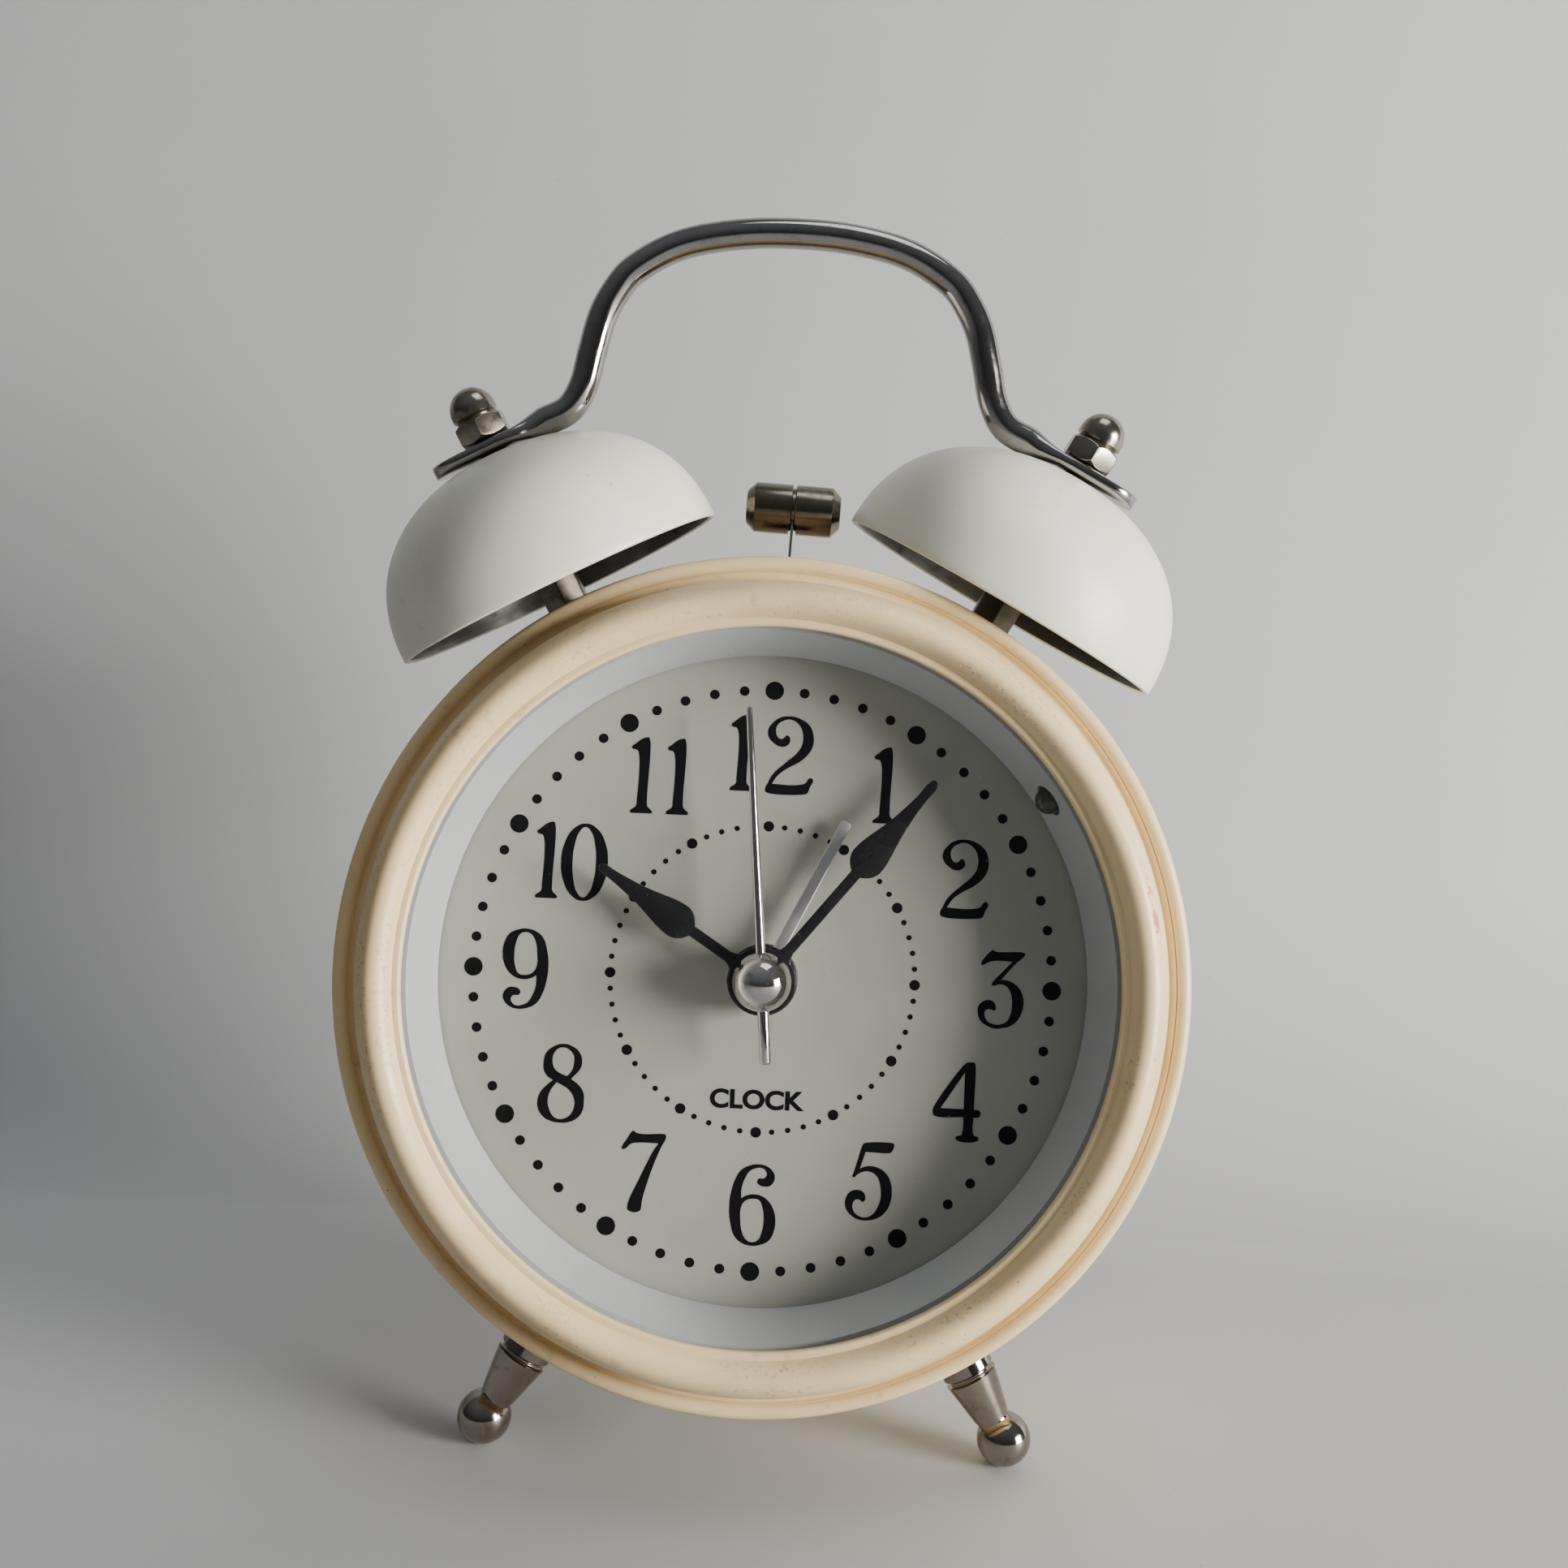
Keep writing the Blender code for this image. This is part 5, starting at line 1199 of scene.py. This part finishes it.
@dataclass(frozen=True)
class Spade:
    """A spade hand's outline in millimetres, from the middle of its hub."""

    length: float
    leaf_at: float
    leaf_half: float
    hub: float
    bore: float
    stem: float = 0.75
    point: float = 0.62

    def outlines(self) -> list[Outline]:
        """The hand's outline and the hole in its hub."""
        half, middle = self.leaf_half, self.leaf_at
        side = [(self.stem, self.hub + 0.9, CORNER), (self.stem, middle - 2.1, CORNER),
                (half * 0.72, middle - 1.3), (half * 0.97, middle - 0.2), (half, middle + 0.8),
                (half * 0.93, middle + 2.2), (half * 0.74, middle + 4.2), (half * 0.52, middle + 6.6),
                (half * 0.37, middle + 9.2), (self.point + 0.06, middle + 11.5),
                (self.point, self.length - 0.7), (self.point * 0.7, self.length - 0.2),
                (0.0, self.length)]
        root = math.degrees(math.asin(self.stem * 1.6 / self.hub))
        return hand_outlines(side, self.hub, self.bore, root)


@dataclass
class Hands:
    """The four hands and the ball that covers their middle."""

    shop: Workshop
    thick: float = 0.7
    edge: float = 0.12
    gap: float = 0.0003
    hour: Spade = Spade(27.2, 13.7, 2.4, 4.8, 2.9)
    minute: Spade = Spade(36.0, 21.3, 2.4, 4.6, 1.9)
    hour_at: tuple = (302.7, 0.0034)
    minute_at: tuple = (38.9, 0.0048)
    alarm_at: tuple = (25.9, 0.0020)
    second_at: tuple = (354.9, 0.0068)
    alarm_length: float = 24.6
    alarm_half: float = 0.78
    alarm_thick: float = 0.5
    alarm_hub: float = 4.5
    alarm_bore: float = 3.9
    second_length: float = 0.0372
    second_tail: float = 0.0111
    second_radius: float = 0.0006
    tail_radius: float = 0.00081
    tip_radius: float = 0.000432
    ball: float = 0.0040
    ball_flat: float = -0.0011

    @staticmethod
    def place(at: tuple) -> Matrix:
        """A hand's place, from its angle clockwise from twelve and its height over the dial."""
        return shift(z=at[1]) @ turn(-at[0], "Z")

    def build(self) -> None:
        """Make the four hands and the ball."""
        for name, spade, body, at in (("hour_hand", self.hour, Body.HOUR, self.hour_at),
                                      ("minute_hand", self.minute, Body.MINUTE, self.minute_at)):
            shape = cut_out(spade.outlines(), self.thick, self.edge)
            self.shop.piece(name + "_finished", shape, Slot.BLACK, body, self.place(at), (name,))
        self.alarm()
        self.second()

    def alarm(self) -> None:
        """The thin silver alarm hand."""
        half = self.alarm_half
        side = [(half, self.alarm_hub - 0.1, CORNER), (half, self.alarm_length - 0.5, CORNER),
                (half * 0.7, self.alarm_length - 0.1), (0.0, self.alarm_length)]
        outlines = hand_outlines(side, self.alarm_hub, self.alarm_bore, 8)
        silver = Metal("hand_silver", (0.88, 0.87, 0.84), (0.58, 0.57, 0.54), 0.36, 0.48, 0.25, 0.20)
        self.shop.piece("alarm_hand_finished", cut_out(outlines, self.alarm_thick, self.edge),
                        Slot.SPRING, Body.ALARM, self.place(self.alarm_at), ("alarm_hand",),
                        finish=silver)

    def second(self) -> None:
        """The needle of a second hand, and the chrome ball on it."""
        tip, tail = self.tip_radius, self.tail_radius
        profile = arc((0.0, -self.second_tail + tail / 2), (tail, tail / 2), -90, 0, 6)
        profile += [(tail, -self.ball), (tail * 0.86, self.ball)]
        profile += arc((0.0, self.second_length - tip), (tip, tip), 0, 90, 6)
        needle = moved(spun(on_axis(profile), 24), turn(-90, "X"))
        place = self.place(self.second_at)
        self.shop.piece("second_needle", needle, Slot.CHROME, Body.SECOND, place, ("second_hand",))
        first = math.degrees(math.asin(self.ball_flat / self.ball))
        dome = [(0.0, self.ball_flat)] + arc((0.0, 0.0), (self.ball, self.ball), first, 90, 36)
        groove = bar(self.second_radius + self.gap, -0.01, 0.01, 24)
        groove = moved(groove, shift(z=-self.gap) @ turn(-90, "X"))
        place = shift(z=self.second_at[1] + self.gap) @ turn(-self.second_at[0], "Z")
        self.shop.piece("centre_ball", carve(spun(on_axis(dome), 80), groove), Slot.CHROME,
                        Body.SECOND, place, ("second_hand_cap",))


# ---- bells, posts and cap nuts -------------------------------------------------------------------

@dataclass
class Bells:
    """The two bells on their posts, with the cap nuts that clamp the handle on them."""

    shop: Workshop
    radius: float = 0.0251
    height: float = 0.0213
    wall: float = 0.0009
    power: float = 2.25
    bore: float = 0.0022
    post_flats: float = 0.0060
    post_foot: float = -0.0088
    stud: float = 0.0019
    stud_foot: float = -0.0150
    stud_short: float = 0.0030
    overlap: float = 0.0002
    tab_top: float = 0.0235
    nut_flats: float = 0.0070
    nut_hex: float = 0.0032
    nut_dome: float = 0.0034
    nut_height: float = 0.0080
    gap: float = 0.0003

    @staticmethod
    def leaned() -> Matrix:
        """The forward lean of the bells, the posts and the handle, about the bells' rims."""
        rims = shift(0.0, RIM_Y, BELL_Z)
        return rims @ turn(BELL_LEAN, "X") @ rims.inverted()

    @classmethod
    def place(cls, side: int) -> Matrix:
        """A bell's place: its rim's middle, with Z along the bell's own axis."""
        level = shift(side * RIM_X, RIM_Y, BELL_Z) @ turn(-side * BELL_TILT, "Z") @ turn(-90, "X")
        return cls.leaned() @ level

    def build(self) -> None:
        """Make both sides."""
        for side, word in SIDES.items():
            place = self.place(side)
            self.shop.piece("bell_shell_" + word, self.bell(), Slot.WHITE, place=place, sharp=60,
                            stands_for=("bell_" + word,), extra=(self.lining(),))
            self.shop.piece("post_" + word, self.post(), Slot.DARK_STEEL, place=place,
                            stands_for=("bell_post_" + word,))
            self.shop.piece("dome_nut_" + word, self.cap_nut(), Slot.NICKEL, place=place,
                            stands_for=("cap_nut_" + word,))
            self.shop.softened("post_nut_" + word, Body.ROOT, 0.0002)

    @staticmethod
    def lining() -> Finish:
        """The dark grey metal finish on a bell's inside faces."""
        return Metal("bell_inside_grey", (0.16, 0.16, 0.15), (0.08, 0.075, 0.065), 0.40, 0.60, 0.5, 0.5)

    def dome(self, radius: float, height: float, steps: int = 44) -> list[Point]:
        """A slightly flattened dome's profile, from its rim to the hole at its top.

        Args:
            radius: The rim's radius.
            height: How high the dome would be without its hole.
            steps: How many steps a full quarter turn has.

        Returns:
            The profile's points.
        """
        points = []
        for step in range(steps + 1):
            angle = math.radians(90 * step / steps)
            across = radius * math.cos(angle) ** (2 / self.power)
            points.append((max(across, self.bore), height * math.sin(angle) ** (2 / self.power)))
            if across < self.bore:
                break
        return points

    def bell(self) -> Shape:
        """One bell about its own axis, with a rounded rim and its inside faces numbered 1."""
        half = self.wall / 2
        outer = self.dome(self.radius, self.height)
        inner = self.dome(self.radius - self.wall, self.height - self.wall)
        rim = arc((self.radius - half, 0.0), (half, half * 0.6), 180, 360, 8)[1:-1]
        shape = spun(outer + inner[::-1] + rim, 128)
        middle = (self.radius - half, self.height - half)
        for face in shape.faces:
            spot = face.calc_center_median()
            share = (math.hypot(spot.x, spot.y) / middle[0]) ** self.power
            share += (max(spot.z, 0.0) / middle[1]) ** self.power
            face.material_index = 1 if share < 1.0 and spot.z > 0.0 else 0
        return shape

    def post(self) -> Shape:
        """The hexagonal post, and the stud that runs through it."""
        shoulder = self.height - self.wall - self.gap
        shape = round_edges(hexagon_bar(self.post_flats, self.post_foot, shoulder), 0.00025)
        tip = self.tab_top + self.gap + self.nut_height - self.stud_short
        return merged(shape, bar(self.stud, self.stud_foot, self.post_foot + self.overlap),
                      bar(self.stud, shoulder - self.overlap, tip))

    def cap_nut(self) -> Shape:
        """A chamfered hexagon, a waist and a dome."""
        low, dome = self.tab_top + self.gap, self.nut_dome
        top = low + self.nut_hex
        corner = self.nut_flats / math.sqrt(3) + 0.0001
        face = self.nut_flats / 2 - 0.0001
        slope = 0.0006
        barrel = [(0.0, low - 0.001), (face, low), (corner, low + slope), (corner, top - slope),
                  (face, top), (0.0, top + 0.001)]
        hexagon = carve(hexagon_bar(self.nut_flats, low, top), spun(barrel, 64), Carving.KEEP_SHARED)
        foot, waist, straight = top - 0.0008, dome - 0.0002, low + self.nut_height - dome
        profile = [(0.0, foot), (waist, foot), (waist, top + 0.0001),
                   (dome - 0.00045, top + 0.0003), (dome, top + 0.0007)]
        profile += arc((0.0, straight), (dome, dome), 0, 90, 16)
        return merged(round_edges(hexagon, 0.00012, 2, 20.0), spun(on_axis(profile), 48))


# ---- the handle ----------------------------------------------------------------------------------

@dataclass(frozen=True)
class Station:
    """One cross-section of the handle: its middle, its half sizes and how square it is."""

    middle: Vector
    half_width: float
    half_thick: float
    squareness: float


@dataclass
class Handle:
    """The bent wire handle, forged flat and round at its two ends."""

    shop: Workshop
    wire: float = 0.00215
    top: float = 0.1069
    tab_half: float = 0.0045
    tab_thick: float = 0.0019
    tab_end: float = 0.0092
    tab_neck: float = 0.0052
    tab_level: float = 0.02255
    tab_square: float = 5.0
    hole: float = 0.0022
    sides: int = 28
    bends: tuple = ((0.0, 0.0), (0.0084, 0.0005), (0.0164, 0.0023), (0.0226, 0.0058),
                    (0.0254, 0.0091), (0.0273, 0.0129), (0.0286, 0.0179), (0.0297, 0.0225),
                    (0.0317, 0.0260))
    forging: tuple = ((0.0018, 0.0024, 0.0018, 2.4), (0.0002, 0.0033, 0.0013, 3.2),
                      (-0.0016, 0.0041, 0.00095, 4.5), (-0.0034, 0.0045, 0.00095, 5.0))

    def build(self) -> None:
        """Make the handle."""
        shape = moved(self.sweep(self.stations()), Bells.leaned())
        for side in SIDES:
            shape = carve(shape, moved(bar(self.hole, 0.018, 0.028), Bells.place(side)))
        chrome = Metal("handle_chrome", (0.36, 0.345, 0.335), (0.16, 0.15, 0.145),
                       0.08, 0.22, 0.40, 0.10)
        self.shop.piece("wire_handle", shape, Slot.CHROME, stands_for=("handle",), sharp=55,
                        finish=chrome)

    def along_tab(self, distance: float) -> Vector:
        """A point in the middle of the right tab, counted towards the clock's middle."""
        out = Vector((math.sin(math.radians(BELL_TILT)), math.cos(math.radians(BELL_TILT)), 0.0))
        inward = Vector((-out.y, out.x, 0.0))
        return Vector((RIM_X, RIM_Y, BELL_Z)) + out * self.tab_level + inward * distance

    def knots(self) -> list[Vector]:
        """The points that the right half of the wire runs through, from the top down."""
        return [Vector((x, self.top - down, BELL_Z)) for x, down in self.bends]

    def stations(self) -> list[Station]:
        """The cross-sections from the end of the left tab to the end of the right one."""
        right = [Station(spot, self.wire, self.wire, 2.0)
                 for spot in self.smooth(self.knots() + [self.along_tab(self.tab_neck + 0.0032)], 7)]
        for past_neck, *sizes in self.forging:
            right.append(Station(self.along_tab(self.tab_neck + past_neck), *sizes))
        round_from = self.tab_end - self.tab_half
        for angle in (0, 15, 30, 45, 57, 68, 77, 84, 88):
            reach = round_from + self.tab_half * math.sin(math.radians(angle))
            width = self.tab_half * math.cos(math.radians(angle))
            right.append(Station(self.along_tab(-reach), width, self.tab_thick / 2, self.tab_square))
        mirror = Vector((-1.0, 1.0, 1.0))
        left = [replace(station, middle=station.middle * mirror) for station in reversed(right[1:])]
        return left + right

    @staticmethod
    def smooth(knots: Sequence[Vector], steps: int) -> list[Vector]:
        """A smooth curve through knots, level at its first one.

        Args:
            knots: The points that it runs through.
            steps: How many steps there are from one to the next.

        Returns:
            The points on the curve.
        """
        mirrored = Vector((-knots[1].x, knots[1].y, knots[1].z))
        ends = [mirrored, *knots, 2 * knots[-1] - knots[-2]]
        path = []
        for a, b, c, d in zip(ends, ends[1:], ends[2:], ends[3:]):
            for step in range(steps):
                t = step / steps
                path.append(0.5 * (2 * b + (c - a) * t + (2 * a - 5 * b + 4 * c - d) * t ** 2
                                   + (3 * b - a - 3 * c + d) * t ** 3))
        return [*path, knots[-1]]

    def sweep(self, stations: Sequence[Station]) -> Shape:
        """Join the cross-sections into one closed bar.

        Args:
            stations: The cross-sections in order.

        Returns:
            The bar.
        """
        shape = bmesh.new()
        across = Vector((0.0, 0.0, 1.0))
        rings = []
        for index, station in enumerate(stations):
            before = stations[max(index - 1, 0)].middle
            after = stations[min(index + 1, len(stations) - 1)].middle
            ahead = (after - before).normalized()
            up = ahead.cross(across)
            ring = bmesh.ops.create_circle(shape, segments=self.sides, radius=1.0)["verts"]
            for vertex in ring:
                power = 2.0 / station.squareness
                x = math.copysign(abs(vertex.co.x) ** power, vertex.co.x) * station.half_width
                y = math.copysign(abs(vertex.co.y) ** power, vertex.co.y) * station.half_thick
                vertex.co = station.middle + across * x + up * y
            rings.append(list({edge for vertex in ring for edge in vertex.link_edges}))
        for first, second in zip(rings, rings[1:]):
            bmesh.ops.bridge_loops(shape, edges=first + second)
        bmesh.ops.holes_fill(shape, edges=shape.edges)
        return shape


# ---- the striker ---------------------------------------------------------------------------------

@dataclass
class Striker:
    """The hammer head on its flat spring, and the arm that swings it."""

    shop: Workshop
    pivot_y: float = 0.0330
    z: float = -0.0120
    lean: float = 2.4
    head_y: float = 0.0681
    radius: float = 0.00365
    length: float = 0.0138
    chamfer: float = 0.0013
    seam: float = 0.0002
    seam_depth: float = 0.0005
    slot_half: float = 0.00055
    soft: float = 0.00015

    def build(self) -> None:
        """Make the striker."""
        place = shift(0.0, self.pivot_y, self.z) @ turn(-self.lean, "Z")
        reach = self.head_y - self.pivot_y
        across = shift(0.0, reach, 0.0) @ turn(90, "Y")
        slot = brick((-self.slot_half, reach - 0.0050, -0.0025),
                     (self.slot_half, reach + 0.0025, 0.0025))
        head = carve(moved(spun(self.profile(), 96), across), slot)
        plating = Metal("worn_nickel", (0.25, 0.215, 0.17), (0.08, 0.06, 0.042), 0.22, 0.40, 0.60, 0.30,
                        (1.0, 24.0, 24.0), self.shop.dial.matrix @ place)
        self.shop.piece("striker_head", head, Slot.NICKEL, Body.STRIKER, place, ("hammer_head",),
                        finish=plating, sharp=25)
        self.shop.softened("hammer_strip", Body.STRIKER, 0.00008)
        self.shop.softened("hammer_arm", Body.STRIKER, 0.0003)

    def profile(self) -> list[Point]:
        """The head's profile: chamfered ends, softened corners and a seam round its middle."""
        radius, half, soft = self.radius, self.length / 2, self.soft
        face, slope = radius - self.chamfer, half - self.chamfer
        right = [(radius - self.seam_depth, self.seam), (radius - soft, self.seam),
                 (radius, self.seam + soft), (radius, slope - soft),
                 (radius - soft / 2, slope + soft / 2), (face + soft / 2, half - soft / 2),
                 (face - soft, half), (0.0, half)]
        return [(across, -z) for across, z in reversed(right)] + right


# ---- the feet ------------------------------------------------------------------------------------

@dataclass
class Feet:
    """The two turned feet with their collars and balls."""

    shop: Workshop
    angle: float = 30.0
    reach: float = 0.0733
    z: float = -0.0080
    ball: float = 0.0038
    base: float = 0.00375
    neck: float = 0.0024
    stud: float = 0.0015
    top: float = -0.0190
    collar: float = -0.0103
    thread: float = -0.0230
    soft: float = 0.0003

    def build(self) -> None:
        """Make both feet."""
        chrome = Metal("foot_chrome", (0.32, 0.285, 0.245), (0.10, 0.08, 0.06), 0.10, 0.26, 0.50, 0.15)
        for side, word in SIDES.items():
            place = shift(*clock_point(180 - side * self.angle, self.reach), self.z)
            place = place @ turn(-180 + side * self.angle, "Z") @ turn(-90, "X")
            self.shop.piece("turned_foot_" + word, spun(self.profile(), 72), Slot.CHROME, place=place,
                            stands_for=("foot_" + word,), sharp=35, finish=chrome)
            self.shop.softened("foot_nut_" + word, Body.ROOT, 0.0002)

    def profile(self) -> list[Point]:
        """A foot's profile, with the ball's middle at zero and the case towards minus Z."""
        neck = -math.sqrt(self.ball ** 2 - self.neck ** 2)
        first = math.degrees(math.asin(neck / self.ball))
        profile = [(0.0, self.thread), (self.stud, self.thread), (self.stud, self.top),
                   (self.base - self.soft, self.top), (self.base, self.top + self.soft)]
        profile += arc((self.base, self.collar), (0.0006, 0.0005), -90, -270, 8)
        profile += [(self.base - 0.0001, self.collar + 0.0009),
                    (self.neck + 0.0002, neck - 0.0009), (self.neck, neck - 0.0004)]
        profile += arc((0.0, 0.0), (self.ball, self.ball), first, 90, 28)
        return on_axis(profile)


# ---- the back ------------------------------------------------------------------------------------

@dataclass
class Back:
    """The moulded cover, the battery door, the knobs, the button, the switch and the screws."""

    shop: Workshop
    edges: tuple = (("rear_cover", Body.ROOT, 0.00022), ("battery_door", Body.DOOR, 0.00018),
                    ("time_set_knob", Body.TIME_KNOB, 0.0001),
                    ("alarm_set_knob", Body.ALARM_KNOB, 0.0001),
                    ("light_button", Body.LAMP_PUSH, 0.0002),
                    ("alarm_switch", Body.ALARM_SLIDE, 0.00015),
                    ("cover_screw_left", Body.ROOT, 0.00012),
                    ("cover_screw_right", Body.ROOT, 0.00012))

    def build(self) -> None:
        """Round the edges of every piece on the back."""
        for node, body, width in self.edges:
            self.shop.softened(node, body, width)


# ---- the studio ----------------------------------------------------------------------------------

@dataclass(frozen=True)
class SoftLight:
    """A square soft light, placed in the clock's frame and aimed at the dial."""

    name: str
    place: tuple
    size: float
    power: float
    colour: Colour = (1.0, 1.0, 1.0)

    def hang(self, aim: Vector) -> None:
        """Add the light to the scene."""
        data = bpy.data.lights.new(self.name, 'AREA')
        data.shape = 'SQUARE'
        data.size = self.size
        data.energy = self.power
        data.color = self.colour
        item = bpy.data.objects.new(self.name, data)
        item.location = self.place
        item.rotation_euler = (aim - Vector(self.place)).to_track_quat('-Z', 'Y').to_euler()
        bpy.context.scene.collection.objects.link(item)


@dataclass
class Studio:
    """The pale floor, the backdrop, the lights and the camera."""

    shop: Workshop
    floor_half: float = 3.0
    sweep_y: float = 0.050
    sweep_radius: float = 0.080
    sweep_lean: float = 78.0
    sweep_height: float = 1.2
    sweep_half: float = 0.9
    sweep_lift: float = 0.0002
    room_low: Colour = (0.18, 0.185, 0.19)
    room_high: Colour = (0.78, 0.82, 0.88)
    room_top: float = 0.85
    room_strength: float = 0.25
    lens: float = 39.13
    sensor: float = 36.0
    eye: tuple = (0.00257, 0.01523, 0.23665)
    tilt: tuple = (2.866, 0.057, 2.447)
    lights: tuple = (SoftLight("key", (0.86, -0.44, 0.20), 0.38, 24.0, (1.0, 0.985, 0.945)),
                     SoftLight("top", (0.20, -0.12, 1.05), 0.50, 2.0, (0.97, 0.985, 1.0)),
                     SoftLight("rear", (0.35, 0.95, 0.75), 0.60, 2.5))

    def build(self) -> None:
        """Set the clock up on its floor."""
        self.floor()
        self.backdrop()
        self.world()
        aim = self.shop.dial.matrix.translation
        for light in self.lights:
            light.hang(aim)
        self.camera()

    def stand(self, name: str, shape: Shape, finish: Finish) -> bpy.types.Object:
        """A stage object that isn't part of the clock."""
        mesh = bpy.data.meshes.new(name)
        shape.to_mesh(mesh)
        shape.free()
        mesh.materials.append(self.shop.palette.take(finish))
        mesh.polygons.foreach_set("use_smooth", [True] * len(mesh.polygons))
        item = bpy.data.objects.new(name, mesh)
        bpy.context.scene.collection.objects.link(item)
        item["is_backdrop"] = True
        return item

    def floor(self) -> None:
        """The level floor under the clock."""
        shape = bmesh.new()
        bmesh.ops.create_grid(shape, x_segments=1, y_segments=1, size=self.floor_half)
        self.stand("floor", shape, Backdrop("floor_board"))

    def backdrop(self) -> None:
        """A board that sweeps up close behind the clock and is clear from behind."""
        shape = bmesh.new()
        curve = arc((self.sweep_y, self.sweep_radius + self.sweep_lift), (self.sweep_radius,) * 2,
                    -90, self.sweep_lean - 90, 24)
        end = math.radians(self.sweep_lean)
        y, z = curve[-1]
        curve.append((y + self.sweep_height * math.cos(end), z + self.sweep_height * math.sin(end)))
        spots = [shape.verts.new((-self.sweep_half, y, z)) for y, z in curve]
        edges = [shape.edges.new(pair) for pair in zip(spots, spots[1:])]
        grown = bmesh.ops.extrude_edge_only(shape, edges=edges)["geom"]
        bmesh.ops.translate(shape, vec=(2 * self.sweep_half, 0.0, 0.0),
                            verts=[part for part in grown if isinstance(part, bmesh.types.BMVert)])
        shape.normal_update()
        if shape.faces[:][0].normal.z < 0:
            bmesh.ops.reverse_faces(shape, faces=shape.faces)
        item = self.stand("backdrop", shape, Backdrop("backdrop_board", one_sided=True))
        item.visible_shadow = False

    def world(self) -> None:
        """A grey room, brighter above."""
        world = bpy.data.worlds.new("room")
        world.use_nodes = True
        bpy.context.scene.world = world
        nodes, links = world.node_tree.nodes, world.node_tree.links
        place = nodes.new("ShaderNodeTexCoord").outputs["Generated"]
        apart = nodes.new("ShaderNodeSeparateXYZ")
        links.new(place, apart.inputs[0])
        ramp = nodes.new("ShaderNodeValToRGB")
        links.new(apart.outputs["Z"], ramp.inputs[0])
        low, high = ramp.color_ramp.elements
        low.color = (*self.room_low, 1.0)
        high.color = (*self.room_high, 1.0)
        high.position = self.room_top
        background = nodes["Background"]
        links.new(ramp.outputs[0], background.inputs["Color"])
        background.inputs["Strength"].default_value = self.room_strength

    def camera(self) -> None:
        """The camera, a little below the middle of the dial's own axis."""
        data = bpy.data.cameras.new("camera")
        data.lens = self.lens
        data.sensor_width = self.sensor
        data.clip_start = 0.01
        item = bpy.data.objects.new("camera", data)
        view = shift(*self.eye)
        for angle, axis in zip(reversed(self.tilt), "ZYX"):
            view = view @ turn(angle, axis)
        item.matrix_world = self.shop.dial.matrix @ view
        bpy.context.scene.collection.objects.link(item)
        bpy.context.scene.camera = item


# ---- the whole clock -----------------------------------------------------------------------------

def write_sizes(before: tuple[Vector, Vector], after: tuple[Vector, Vector]) -> None:
    """Write the CAD box and the visual model's box as plain lists."""
    for name, box in (("CAD", before), ("visual", after)):
        LOG.info("%s box %s", name, [tuple(round(part / MM, 1) for part in corner) for corner in box])


def main() -> None:
    """Build the clock's looks round its frame."""
    logging.basicConfig(level=logging.INFO, format="%(message)s")
    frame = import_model()
    cad_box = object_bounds()
    shop = Workshop(frame["nodes"], DialFrame.from_joints(frame["joints"]))
    for assembly in (Case(shop), DialPrint(shop), Hands(shop), Bells(shop), Handle(shop), Striker(shop),
                     Feet(shop), Back(shop)):
        assembly.build()
        LOG.info("%s is done", type(assembly).__name__)
    shop.dress_kept()
    Studio(shop).build()
    write_sizes(cad_box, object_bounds())


if __name__ == "__main__":
    main()
